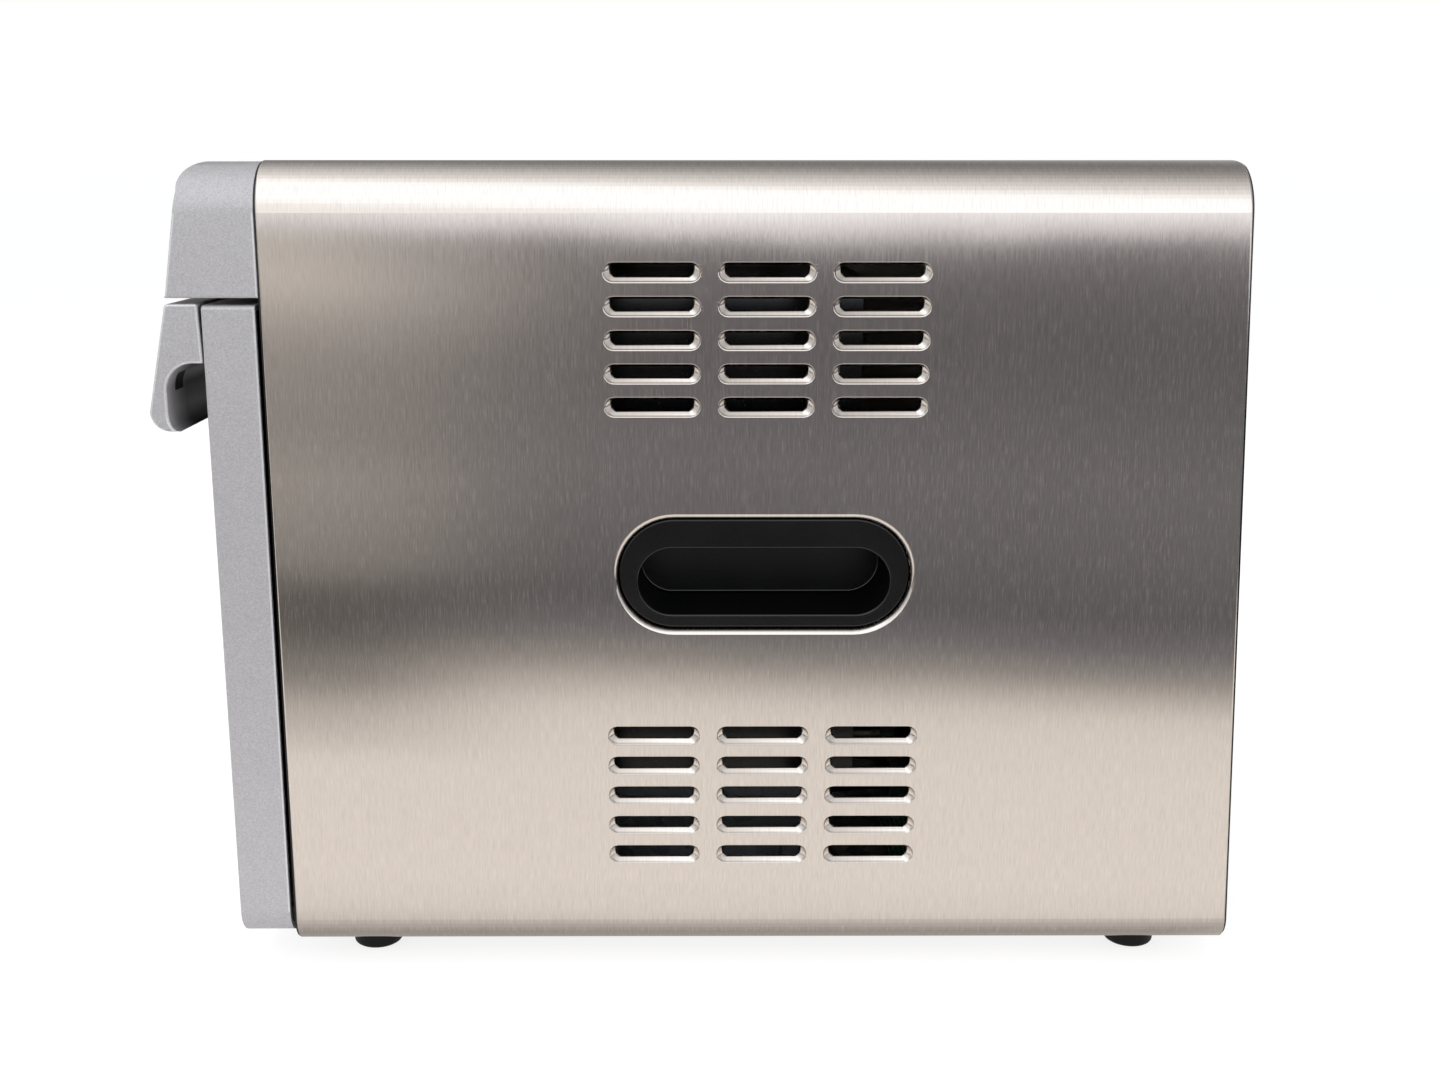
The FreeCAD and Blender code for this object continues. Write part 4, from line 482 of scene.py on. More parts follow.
tint = add(tree, "ValToRGB", {0: scratches}, stops=[(0.34, "#d2cbc5"), (0.66, "#e1d9d2")])
roughness = {"Value": scratches, "From Min": 0.3, "From Max": 0.7, "To Min": 0.115, "To Max": 0.135}
# the sharpest scratches scatter light all ways, which shows where the sheet reflects something dark
scattering = {"Value": scratches, "From Min": 0.52, "From Max": 0.7, "To Min": 1.0, "To Max": 0.92}
uneven = add(tree, "Bump", {"Height": waves, "Distance": 0.6 * MM})
brushed = {"Height": scratches, "Strength": 0.3, "Distance": 0.028 * MM, "Normal": uneven}
surfaced(tree, {
    "Base Color": tint,
    "Metallic": add(tree, "MapRange", scattering),
    "Roughness": add(tree, "MapRange", roughness),
    "Anisotropic": 1.0,
    "Anisotropic Rotation": 0.25,
    "Tangent": add(tree, "Tangent", direction_type="RADIAL", axis="Y"),
    "Normal": add(tree, "Bump", brushed),
})

vents_mesh = repeated("vent_pressings", vent_grid, {
    "Item": ("Object", vent_object),
    "Columns": ("Int", VENT_COLUMNS),
    "Rows": ("Int", VENT_ROWS),
    "Column pitch": ("Float", VENT_PITCH_Y),
    "Row pitch": ("Float", VENT_PITCH_Z),
    "Group rise": ("Float", VENT_GROUP_RISE),
    "Centre": ("Vector", (side_x, vents_y, middle_z)),
    "Finish": ("Material", stainless),
})

sheet_bm = bmesh.new()
profile = [(side_x - FLANGE, case_low.z)]
for angle in range(-90, 1, 9):
    turn = radians(angle)
    profile.append((side_x - BOTTOM_BEND * (1 - cos(turn)), case_low.z + BOTTOM_BEND * (1 + sin(turn))))
side_start = len(profile) - 1
for angle in range(0, 91, 5):
    turn = radians(angle)
    profile.append((side_x - TOP_BEND * (1 - cos(turn)), case_high.z - TOP_BEND * (1 - sin(turn))))
profile.append((0.0, case_high.z))
# each row runs from the front edge to the rear one, with a point just inside each to hold the rim's turn there
RIM = 0.6 * MM
rows = [
    [sheet_bm.verts.new((x, y, z)) for y in (front_y, front_y + RIM, rear_edge(z) - RIM, rear_edge(z))]
    for x, z in profile
]
for place_in, (low, high) in enumerate(zip(rows, rows[1:])):
    for step in range(3):
        if place_in != side_start or step != 1:
            face = sheet_bm.faces.new((low[step], low[step + 1], high[step + 1], high[step]))
            face.smooth = True
# the flat side itself is filled in round its holes
low, high = rows[side_start], rows[side_start + 1]
outer = (low[1], low[2]), (high[1], high[2]), (low[1], high[1]), (low[2], high[2])
side_edges = [sheet_bm.edges.get(pair) for pair in outer]


def side_hole(points, y, z):
    """A hole's edges in the casing's flat side, as a closed loop."""
    ring = [sheet_bm.verts.new((side_x, y + u, z + v)) for u, v in points]
    return ring, [sheet_bm.edges.new((ring[i - 1], ring[i])) for i in range(len(ring))]


for group_side in (-1, 1):
    for row in range(VENT_ROWS):
        for column in range(VENT_COLUMNS):
            y = vents_y + (column - (VENT_COLUMNS - 1) / 2) * VENT_PITCH_Y
            z = middle_z + group_side * VENT_GROUP_RISE + (row - (VENT_ROWS - 1) / 2) * VENT_PITCH_Z
            side_edges += side_hole(mouth_ring, y, z)[1]
recess_ring, recess_edges = side_hole(stadium(CARRY_LENGTH, CARRY_HEIGHT, 0.0, CARRY_STEPS), vents_y, middle_z)
side_edges += recess_edges
bmesh.ops.triangle_fill(sheet_bm, edges=side_edges, use_beauty=True, normal=(1, 0, 0))
rolled = [recess_ring]
for angle in (18, 36, 54, 72, 90):
    turn = radians(angle)
    points = stadium(CARRY_LENGTH, CARRY_HEIGHT, -CARRY_ROLL * sin(turn), CARRY_STEPS)
    depth = CARRY_ROLL_DEPTH * (1 - cos(turn))
    rolled.append([sheet_bm.verts.new((side_x - depth, vents_y + u, middle_z + v)) for u, v in points])
neck = side_x - CARRY_ROLL_DEPTH - CARRY_NECK
rolled.append([sheet_bm.verts.new((neck, vert.co.y, vert.co.z)) for vert in rolled[-1]])
bridged(sheet_bm, rolled)
sheet_bm.from_mesh(vents_mesh)
MERGE = 0.01 * MM
bmesh.ops.remove_doubles(sheet_bm, verts=sheet_bm.verts, dist=MERGE)
half = list(sheet_bm.verts) + list(sheet_bm.edges) + list(sheet_bm.faces)
bmesh.ops.mirror(sheet_bm, geom=half, axis="X", merge_dist=MERGE)
bmesh.ops.remove_doubles(sheet_bm, verts=sheet_bm.verts, dist=MERGE)
bmesh.ops.recalc_face_normals(sheet_bm, faces=sheet_bm.faces)
top_face = max(sheet_bm.faces, key=lambda f: f.calc_center_median().z)
if top_face.normal.z < 0:
    bmesh.ops.reverse_faces(sheet_bm, faces=sheet_bm.faces)
wrap = sheet_bm.loops.layers.uv.new("wrap")
for face in sheet_bm.faces:
    for loop in face.loops:
        at = loop.vert.co
        inset = side_x - abs(at.x)
        loop[wrap].uv = (at.y, at.z + (inset if at.z > middle_z else -inset))
casing_mesh = bpy.data.meshes.new("casing_sheet")
sheet_bm.to_mesh(casing_mesh)
sheet_bm.free()
for polygon in casing_mesh.polygons:
    polygon.material_index = 0
casing = bpy.data.objects.new("casing_sheet", casing_mesh)
wall = casing.modifiers.new("sheet_thickness", "SOLIDIFY")
wall.thickness = SHEET
wall.offset = -1.0
wall.use_even_offset = True
wall.bevel_convex = 1.0    # weights the sheet's edges, which the next modifier eases
dull = casing.modifiers.new("deburred_edges", "BEVEL")
dull.limit_method = "WEIGHT"
dull.width = 0.25 * MM
dull.segments = 2


def place_of(piece, material, slot, body, *nodes):
    """Gives a finished piece its material, lets it ride, and stands it in for its CAD nodes. The slot is not used.
    """
    if piece.name not in scene.collection.objects:
        scene.collection.objects.link(piece)
    piece.data.materials.clear()
    piece.data.materials.append(material)
    if nodes:
        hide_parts(*nodes)
    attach(piece, body)
    return piece


place_of(casing, stainless, "brushed_stainless", "root", "casing")


# ---- Carry recesses ----
# A finger pocket in each side, moulded in one piece from black polypropylene with a fine spark-eroded grain.
# It snaps into the rolled hole from behind and stands 2.4 mm back from the sheet.
FLOW_WIDTH = 45 * MM


def moulded(name, colour, worn, grain, depth, roughness, specular=0.32):
    """A moulded plastic or rubber: spark-eroded grain of that width and depth, and faint flow mottling."""
    made, tree, place = new_material(name)
    pits = add(tree, "TexNoise", {"Vector": place, "Scale": 1 / grain, "Roughness": 0.55})
    cells = add(tree, "TexVoronoi", {"Vector": place, "Scale": 0.6 / grain})
    flow = add(tree, "TexNoise", {"Vector": place, "Scale": 1 / FLOW_WIDTH, "Detail": 3.0})
    grainy = add(tree, "Mix", {"Factor": 0.5, 2: pits, 3: cells})
    mottle = add(tree, "Mix", {"Factor": 0.35, 2: flow, 3: grainy})
    rough = {"Value": mottle, "From Min": 0.25, "From Max": 0.75}
    rough |= {"To Min": roughness - 0.06, "To Max": roughness + 0.07}
    surfaced(tree, {
        "Base Color": add(tree, "ValToRGB", {0: mottle}, stops=[(0.30, colour), (0.72, worn)]),
        "Roughness": add(tree, "MapRange", rough),
        "Specular IOR Level": specular,
    }, (grainy, 0.5, depth))
    return made


# CAD faces come as triangles: corners closer than this are one corner, and faces flatter than this one face
WELD = 0.003 * MM
FLAT = radians(0.7)
SHARP_CORNER = radians(36)


def eased(node, name, width, material, slot, segments=2):
    """A copy of a CAD node, its triangles joined into faces and its edges rounded, in the node's place."""
    source = frame["nodes"][node]
    work = bmesh.new()
    work.from_mesh(source.data)
    bmesh.ops.remove_doubles(work, verts=work.verts, dist=WELD)
    bmesh.ops.dissolve_limit(work, angle_limit=FLAT, verts=work.verts, edges=work.edges)
    work.verts.index_update()
    points = [tuple(v.co) for v in work.verts]
    faces = [[v.index for v in f.verts] for f in work.faces]
    work.free()
    mesh = bpy.data.meshes.new(name)
    mesh.from_pydata(points, [], faces)
    mesh.shade_smooth()
    piece = bpy.data.objects.new(name, mesh)
    edge = piece.modifiers.new("eased_edges", "BEVEL")
    edge.width = width
    edge.segments = segments
    edge.limit_method = "ANGLE"
    edge.angle_limit = SHARP_CORNER
    edge.harden_normals = True
    return place_of(piece, material, slot, source["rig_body"], node)


black_polypropylene = moulded(
    "black_polypropylene_spark_grain", "#020202", "#050505", 0.7 * MM, 0.006 * MM, 0.22, specular=0.5
)
# the pocket's deep walls are left as rough as the spark made them, and get a blacker plastic with almost no shine:
# painted shade in the recess
pocket_shade_polypropylene = moulded(
    "black_polypropylene_grain_and_painted_pocket_shade", "#010101", "#030303", 0.9 * MM, 0.02 * MM, 0.6, specular=0.12
)
POCKET_START = 4.5 * MM
POCKET_EDGE = 0.9 * MM
for side in ("left", "right"):
    insert, name = "carry_insert_" + side, "finger_pocket_" + side
    pocket = eased(insert, name, POCKET_EDGE, black_polypropylene, "black_plastic", segments=3)
    pocket.data.materials.append(pocket_shade_polypropylene)
    pocket.modifiers["eased_edges"].material = 0
    # faces deep in the pocket that do not face out take the painted shade
    for polygon in pocket.data.polygons:
        deep = side_x - abs(polygon.center.x) > POCKET_START
        polygon.material_index = int(deep and abs(polygon.normal.x) < 0.6)


# ---- Base plate and feet ----
# A pressed plate of galvanised steel closes the bottom between the casing's flanges. Four moulded rubber
# feet are held to it by a screw in the middle of each, sunk into the tread.
SPANGLE_WIDTH = 9 * MM


def worked_metal(name, colour, dark, grain, depth, roughness, spangle=0.0):
    """A bare metal: its tone and roughness vary with its grain, and with large faint crystals if it has spangle."""
    made, tree, place = new_material(name)
    fine = add(tree, "TexNoise", {"Vector": place, "Scale": 1 / grain, "Detail": 4.0, "Roughness": 0.6})
    crystals = add(tree, "TexVoronoi", {"Vector": place, "Scale": 1 / SPANGLE_WIDTH})
    crystal_tone = add(tree, "SeparateColor", {0: crystals.outputs["Color"]})
    mixed = add(tree, "Mix", {"Factor": spangle, 2: fine, 3: crystal_tone})
    rough = {"Value": mixed, "From Min": 0.2, "From Max": 0.8}
    rough |= {"To Min": roughness + 0.08, "To Max": roughness - 0.06}
    surfaced(tree, {
        "Base Color": add(tree, "ValToRGB", {0: mixed}, stops=[(0.28, dark), (0.70, colour)]),
        "Metallic": 1.0,
        "Roughness": add(tree, "MapRange", rough),
    }, (fine, 0.4, depth))
    return made


def dressed(material, *nodes):
    """Gives carried-over CAD nodes their material."""
    for node in nodes:
        for held in frame["nodes"][node].material_slots:
            held.material = material


def lathed(work, outline, steps, place=Matrix()):
    """Turns (radius, height) points about Z; a radius of 0 closes the pole."""
    rings = []
    for radius, height in outline:
        turns = [tau * i / steps for i in range(steps if radius > 1e-7 else 1)]
        spots = [Vector((radius * cos(turn), radius * sin(turn), height)) for turn in turns]
        rings.append([work.verts.new(place @ spot) for spot in spots])
    for low, high in zip(rings, rings[1:]):
        for i in range(steps):
            j = (i + 1) % steps
            corners = (low[i % len(low)], low[j % len(low)], high[j % len(high)], high[i % len(high)])
            face = work.faces.new(list(dict.fromkeys(corners)))
            face.smooth = True


SHARP = 34


def finished(work, name, sharpest=SHARP):
    """Closes off a bmesh as an object with its normals outwards and its sharp edges marked."""
    bmesh.ops.recalc_face_normals(work, faces=work.faces)
    mesh = bpy.data.meshes.new(name)
    work.to_mesh(mesh)
    work.free()
    mesh.set_sharp_from_angle(angle=radians(sharpest))
    return bpy.data.objects.new(name, mesh)


def on_points(group):
    """One item on each point of the mesh that comes in, all turned alike."""
    given = add(group, "NodeGroupInput").outputs
    set_out(group, given, given["Geometry"], given["Turn"])


def spread(name, item, places, material, turn=(0.0, 0.0, 0.0)):
    """One item repeated at each place, as one object. The item itself goes."""
    points = bpy.data.meshes.new(name)
    points.from_pydata(places, [], [])
    values = {
        "Item": ("Object", item),
        "Turn": ("Vector", turn),
        "Finish": ("Material", material),
    }
    mesh = repeated(name, on_points, values, points)
    bpy.data.objects.remove(item)
    return bpy.data.objects.new(name, mesh)


# hot-dip zinc: dull blue-grey with faint crystals
galvanised = worked_metal("galvanised_steel", "#b4b8bb", "#8c9194", 1.2 * MM, 0.01 * MM, 0.42, spangle=0.55)
foot_rubber = moulded("black_foot_rubber", "#050506", "#09090a", 0.6 * MM, 0.02 * MM, 0.42)
eased("base_plate", "galvanised_base", 0.3 * MM, galvanised, "galvanised_steel")

FOOT_INSET = 31.0 * MM
FOOT_FRONT = 29.6 * MM
FOOT_BACK = 375.0 * MM
# radius and height in mm, from the screw's sink round the grooved tread and up the side
FOOT_OUTLINE = (
    (0, 3.2), (3.6, 3.2), (3.9, 0.3), (4.3, 0.0), (6.3, 0.0), (6.6, 0.45), (7.4, 0.45), (7.7, 0.0),
    (9.0, 0.0), (9.77, 0.15), (10.41, 0.59), (10.85, 1.23), (11.0, 2.0), (11.0, 11.3), (0, 11.3),
)
foot_bm = bmesh.new()
lathed(foot_bm, [(r * MM, h * MM) for r, h in FOOT_OUTLINE], 48)
foot_x = side_x - FOOT_INSET
foot_places = [(sx * foot_x, front_y + y, 0.0) for sx in (-1, 1) for y in (FOOT_FRONT, FOOT_BACK)]
feet = spread("rubber_feet", finished(foot_bm, "foot"), foot_places, foot_rubber)
place_of(feet, foot_rubber, "foot_rubber", "root", "feet")

# shares of a screw's own sizes: how flat its dome is, how wide its foot is, and how wide, tapered and deep its
# cross recess is
DOME = 0.86
HEAD_FOOT = 0.97
RECESS_ARM = 0.17
RECESS_TAPER = 0.6
RECESS_FLOOR = 0.25
HEAD_LAP = 0.02 * MM
TIP = 0.01 * MM


def cross_screw(name, radius, height, shank_radius, shank_length, recess):
    """A dome-headed screw that points down, with a cross recess cut into its head."""
    outline = [(0.0, height * DOME + TIP)]
    for step in range(1, 9):
        angle = radians(90 * step / 8)
        outline.append((radius * sin(angle), height * cos(angle) * DOME))
    outline += [(radius * HEAD_FOOT, -HEAD_LAP), (shank_radius, -HEAD_LAP)]
    outline += [(shank_radius, -shank_length), (0.0, -shank_length)]
    work = bmesh.new()
    lathed(work, outline, 32)
    head = finished(work, name)
    scene.collection.objects.link(head)
    # the recess is a cross of twelve corners: three of them, turned by a quarter three times
    arm = recess * RECESS_ARM
    corners = [(arm, recess), (-arm, recess), (-arm, arm)]
    while len(corners) < 12:
        x, y = corners[-3]
        corners.append((-y, x))
    work = bmesh.new()
    top = [work.verts.new((x, y, height + 1 * MM)) for x, y in corners]
    low = [work.verts.new((x * RECESS_TAPER, y * RECESS_TAPER, height * RECESS_FLOOR)) for x, y in corners]
    work.faces.new(top)
    work.faces.new(list(reversed(low)))
    bridged(work, [low, top])
    cutter = finished(work, name + "_driver")
    scene.collection.objects.link(cutter)
    cut = head.modifiers.new("recess", "BOOLEAN")
    cut.object = cutter
    cut.operation = "DIFFERENCE"
    made = applied(head)
    bpy.data.objects.remove(cutter)
    made.shade_smooth()
    made.set_sharp_from_angle(angle=radians(SHARP))
    return bpy.data.objects.new(name, made)


# nickel-plated steel screws and pins: bright, slightly warm, with soft drawing marks
plated = worked_metal("nickel_plated_steel", "#d6d6d4", "#b9bab9", 0.8 * MM, 0.004 * MM, 0.24)
foot_screw = cross_screw("foot_screw", 3.2 * MM, 1.6 * MM, 1.5 * MM, 1.0 * MM, 1.7 * MM)
foot_screw.data.transform(Matrix.Rotation(pi, 4, "X"))
SCREW_SINK = 2.6 * MM
screw_places = [(x, y, SCREW_SINK) for x, y, z in foot_places]
screws = spread("foot_screws", foot_screw, screw_places, plated)
place_of(screws, plated, "bright_steel", "root")


# ---- Front frame and hinge brackets ----
# A moulded black frame fills the casing's mouth and laps the sheet's front edge. The steel hinge ears and
# the strike plate are held behind it.
eased("front_frame", "front_frame_moulding", 0.35 * MM, black_polypropylene, "black_plastic")
dressed(plated, "hinge_bracket_left", "hinge_bracket_right", "strike_plate")


# ---- Rear panel ----
# A black moulded cover with two groups of slots, held to the casing's tabs by four dome-headed screws.
# The mains inlet snaps into it low down on the machine's right.
eased("rear_panel", "rear_cover", 0.4 * MM, black_polypropylene, "black_plastic")
REAR_SCREW_INSET = 9.1 * MM
REAR_SCREW_RISES = 41.0 * MM, 289.0 * MM
REAR_SCREW_STAND = 1.0 * MM
rear_screw = cross_screw("rear_screw", 4.3 * MM, 2.75 * MM, 1.95 * MM, 7.0 * MM, 2.3 * MM)
screw_x = side_x - REAR_SCREW_INSET
rear_places = []
for sx in (-1, 1):
    for rise in REAR_SCREW_RISES:
        z = case_low.z + rise
        rear_places.append((sx * screw_x, rear_edge(z) + REAR_SCREW_STAND, z))
rear_turn = (radians(-90) + atan(REAR_RAKE / case_height), 0.0, 0.0)
rear_screws = spread("cover_screws", rear_screw, rear_places, plated, rear_turn)
place_of(rear_screws, plated, "bright_steel", "root", "rear_screws")
inlet_plastic = moulded("black_nylon_inlet", "#0b0b0c", "#141416", 0.4 * MM, 0.01 * MM, 0.34)
eased("appliance_inlet", "mains_inlet", 0.3 * MM, inlet_plastic, "black_plastic")


# ---- Baking chamber ----
# A welded box of steel, coated with dark speckled enamel, hung between two galvanised rails. The sheathed
# heating element runs round its floor on four saddles, and a probe comes through its left wall.
def flecked(name, fleck_width, stops, wave_width, depth, smooth, dull, metal=0.0):
    """A dark coating with light flecks in it and a slightly uneven surface."""
    made, tree, place = new_material(name)
    flecks = add(tree, "TexVoronoi", {"Vector": place, "Scale": 1 / fleck_width})
    film = add(tree, "TexNoise", {"Vector": place, "Scale": 1 / wave_width})
    surfaced(tree, {
        "Base Color": add(tree, "ValToRGB", {0: flecks}, stops=stops),
        "Metallic": metal,
        "Roughness": add(tree, "MapRange", {"Value": film, "To Min": smooth, "To Max": dull}),
    }, (film, 0.3, depth))
    return made


speckle = [(0.07, "#44474a"), (0.12, "#08090b")]
enamel = flecked("dark_vitreous_enamel_on_steel", 3.2 * MM, speckle, 4 * MM, 0.05 * MM, 0.16, 0.26)
eased("chamber", "enamelled_chamber", 0.25 * MM, enamel, "chamber_sheet")
sheath = worked_metal("oxidised_heater_sheath", "#6f655c", "#3b342f", 2.5 * MM, 0.02 * MM, 0.46)
dressed(sheath, "heating_element")
dressed(galvanised, "chamber_rails", "heater_clips", "motor_bracket")
dressed(plated, "temperature_sensor", "pan_seat")


# ---- Kneading drive ----
# A motor behind the chamber turns a large pulley by a toothless rubber belt. The pulley's shaft runs in a
# bronze bush in a die-cast housing, and carries the dogs that turn the pan's coupling.
cast_zinc = worked_metal("die_cast_zinc", "#a3a6aa", "#84878b", 0.9 * MM, 0.03 * MM, 0.45)
bronze = worked_metal("sintered_bronze", "#a9825a", "#7d5d3e", 0.5 * MM, 0.02 * MM, 0.5)
motor_paint = worked_metal("laminated_motor_steel", "#6e7174", "#4c4f52", 1.0 * MM, 0.02 * MM, 0.5)
belt_rubber = moulded("black_belt_rubber", "#101011", "#1b1b1c", 1.4 * MM, 0.05 * MM, 0.62)
dressed(cast_zinc, "bearing_housing", "drive_coupling", "driven_coupling", "drive_pulley", "motor_pulley")
dressed(bronze, "shaft_bush", "pan_bush")
dressed(motor_paint, "motor")
dressed(belt_rubber, "drive_belt")
dressed(plated, "drive_shaft", "motor_shaft", "pan_shaft")


# ---- Circuit boards ----
# Glass-fibre boards under green solder mask, with copper tracks that show through it as a lighter green. One
# stands behind the fascia with a switch under each key; the other takes the mains and stands on the base.
WEAVE_WIDTH = 0.8 * MM
board_green, tree, place = new_material("solder_masked_circuit_board")
tracks = add(tree, "TexBrick", {
    "Vector": place, "Scale": 1.0, "Mortar Size": 0.35 * MM, "Brick Width": 7 * MM, "Row Height": 2.4 * MM,
    "Color1": "#16502f", "Color2": "#134527", "Mortar": "#3f8a55",
})
weave = add(tree, "TexNoise", {"Vector": place, "Scale": 1 / WEAVE_WIDTH})
surfaced(tree, {
    "Base Color": tracks,
    "Roughness": 0.32,
}, (weave, 0.2, 0.02 * MM))
dressed(board_green, "control_board", "power_board")


# ---- Bread pan ----
# A drawn aluminium pan with a rolled rim, coated in and out with a dark non-stick that carries a light
# speckle. A flat steel bail turns on a stud at each end, and a steel skirt seats the pan over the drive.
speckle = [(0.10, "#77787a"), (0.20, "#2b2c2e")]
non_stick = flecked(
    "speckled_non_stick_on_aluminium", 1.6 * MM, speckle, 0.5 * MM, 0.02 * MM, 0.36, 0.5, metal=0.25
)

PAN_HALF_X = 78.0 * MM
PAN_HALF_Y = 32.0 * MM
PAN_BACK = 125.0 * MM
PAN_STEPS = 12
# the rest is in mm: pairs are the corners' radius and a height
PAN_LOW = 84.0
PAN_TOP = 206.0
PAN_CORNER = 30.0
PAN_DRAFT = 9.0
PAN_WALL = 1.6
OUTER_FOOT = [(15.2, PAN_LOW), (17.6, 84.35), (19.6, 85.4), (20.9, 87.3), (21.35, 90.0)]
ROLLED_RIM = [
    (29.95, 202.5), (31.0, 202.75), (32.2, 203.2), (32.95, 204.1), (32.95, 205.0),
    (32.3, 205.8), (31.2, PAN_TOP), (29.6, 205.95), (28.7, 205.4), (28.3, 204.2),
]
INNER_FOOT = [(19.4, 89.6), (18.4, 87.4), (16.8, 86.1), (14.6, PAN_LOW + PAN_WALL)]
SHAFT_HOLE = 8.0
STUD_RISE = 196.5
BAIL_STUD = [
    (0, 106.4), (5, 106.4), (5, 110.8), (4.5, 111.3), (2.5, 111.3), (2.5, 114.6), (2.0, 115.1), (0, 115.1),
]
pan_y = front_y + PAN_BACK


def pan_ring(work, radius, z):
    """A rectangle about the pan's middle whose corners have that radius."""
    ring = []
    for quarter, (sx, sy) in enumerate(((1, 1), (-1, 1), (-1, -1), (1, -1))):
        for step in range(PAN_STEPS + 1):
            angle = radians(90 * (quarter + step / PAN_STEPS))
            x = sx * PAN_HALF_X + radius * cos(angle)
            y = pan_y + sy * PAN_HALF_Y + radius * sin(angle)
            ring.append(work.verts.new((x, y, z)))
    return ring


def pan_sides(heights, inset):
    """The drafted walls at those heights, set in by that much."""
    return [(PAN_CORNER - PAN_DRAFT * (PAN_TOP - z) / (PAN_TOP - PAN_LOW) - inset, z) for z in heights]


pan_outline = OUTER_FOOT + pan_sides((120.0, 160.0, 201.0), 0.0) + ROLLED_RIM
pan_outline += pan_sides((160.0, 120.0, 93.0), PAN_WALL) + INNER_FOOT
pan_bm = bmesh.new()
rings = [pan_ring(pan_bm, radius * MM, z * MM) for radius, z in pan_outline]
bridged(pan_bm, rings)
hole = []
for z in (PAN_LOW, PAN_LOW + PAN_WALL):
    turns = [tau * i / 32 for i in range(32)]
    spots = [(SHAFT_HOLE * MM * cos(turn), pan_y + SHAFT_HOLE * MM * sin(turn), z * MM) for turn in turns]
    hole.append([pan_bm.verts.new(spot) for spot in spots])
bridged(pan_bm, hole)
for ends in ((rings[0], hole[0]), (rings[-1], hole[1])):
    edges = [pan_bm.edges.get(pair) for ring in ends for pair in zip(ring, ring[1:] + ring[:1])]
    bmesh.ops.triangle_fill(pan_bm, edges=edges, use_beauty=True)
for sx in (-1, 1):
    out = Matrix.Translation((0, pan_y, STUD_RISE * MM)) @ Matrix.Rotation(radians(90 * sx), 4, "Y")
    lathed(pan_bm, [(r * MM, h * MM) for r, h in BAIL_STUD], 24, out)
place_of(finished(pan_bm, "non_stick_pan", 40), non_stick, "pan_coating", "pan", "bread_pan")
dressed(plated, "pan_skirt")
eased("pan_bail", "steel_bail", 0.35 * MM, plated, "bright_steel")
eased("kneading_paddle", "non_stick_paddle", 1.0 * MM, non_stick, "pan_coating", segments=3)


# ---- Door ----
# A drop-down door: a silver-painted ABS shell on two pins at its foot, an enamelled liner screwed to its
# back, and two panes of toughened glass with a silicone seal round the mouth.
FLAKE = 0.42 * MM    # coarser than the real 0.05 mm flake, so that the sparkle shows
CLOUD_WIDTH = 2.2 * MM
PAINT_METAL = 0.45
# how near a corner has to be to a moulding's end or side, or to a cut, to count as lying on it
ON_SIDE = 0.05 * MM
ON_CUT = 1e-6


def silver_painted(name, dark="#a19fa2", light="#b7b5b7", shade_depth=None):
    """Fine aluminium flake in a satin lacquer. Given a depth, the marked faces darken to near black past that depth
    in from the ends: painted shade.
    """
    made, tree, place = new_material(name)
    flakes = add(tree, "TexVoronoi", {"Vector": place, "Scale": 1 / FLAKE})
    flake_tone = add(tree, "SeparateColor", {0: flakes.outputs["Color"]})
    cloud = add(tree, "TexNoise", {"Vector": place, "Scale": 1 / CLOUD_WIDTH, "Detail": 3.0, "Roughness": 0.6})
    speckle = add(tree, "Mix", {"Factor": 0.35, 2: flake_tone, 3: cloud})
    colour = add(tree, "ValToRGB", {0: speckle}, stops=[(0.18, dark), (0.82, light)])
    metal = PAINT_METAL
    if shade_depth:
        # painted shade: the marked faces darken to near black and lose their metal the deeper in from the ends they
        # lie
        marked = add(tree, "Attribute", attribute_name="unpainted").outputs["Fac"]
        off_middle = add(tree, "Math", {0: add(tree, "SeparateXYZ", {0: place})}, operation="ABSOLUTE")
        deep = {"Value": off_middle, "From Min": side_x, "From Max": side_x - shade_depth}
        bare = add(tree, "Math", {0: marked, 1: add(tree, "MapRange", deep)}, operation="MULTIPLY")
        colour = add(tree, "Mix", {"Factor": bare, 6: colour, 7: "#060606"}, data_type="RGBA").outputs[2]
        metal = add(tree, "MapRange", {"Value": bare, "To Min": PAINT_METAL, "To Max": 0.0})
    surfaced(tree, {
        "Base Color": colour,
        "Metallic": metal,
        "Roughness": add(tree, "MapRange", {"Value": speckle, "To Min": 0.40, "To Max": 0.48}),
        "Coat Weight": 0.25,
    }, (speckle, 0.3, 0.015 * MM))
    return made


def sliced(work, spot, across):
    """Adds edges where a plane passes through the whole of a mesh."""
    everything = list(work.verts) + list(work.edges) + list(work.faces)
    bmesh.ops.bisect_plane(work, geom=everything, dist=ON_CUT, plane_co=spot, plane_no=across)


def scored(mesh, from_y, width, depth):
    """Cuts a shallow parting line round both sides of a moulding, at that distance along Y."""
    work = bmesh.new()
    work.from_mesh(mesh)
    low = from_y + depth
    for y in (from_y, low, low + width, low + width + depth):
        sliced(work, (0, y, 0), (0, 1, 0))
    for vert in work.verts:
        if side_x - abs(vert.co.x) < ON_SIDE and low - ON_CUT < vert.co.y < low + width + ON_CUT:
            vert.co.x -= copysign(depth, vert.co.x)
    work.to_mesh(mesh)
    work.free()


ROLL_STEPS = 6


def rolled_corner(mesh, radius, y, z):
    """Rounds the long lower front corner of a moulding to that radius, along the whole of X."""
    work = bmesh.new()
    work.from_mesh(mesh)
    for step in range(ROLL_STEPS):
        reach = radius * (1 - sin(radians(90 * step / ROLL_STEPS)))
        sliced(work, (0, y + reach, 0), (0, 1, 0))
        sliced(work, (0, 0, z + reach), (0, 0, 1))
    for vert in work.verts:
        off = Vector((0.0, y + radius - vert.co.y, z + radius - vert.co.z))
        if off.y > 0 and off.z > 0 and off.length > radius:
            off *= radius / off.length
            vert.co.y = y + radius - off.y
            vert.co.z = z + radius - off.z
    work.to_mesh(mesh)
    work.free()


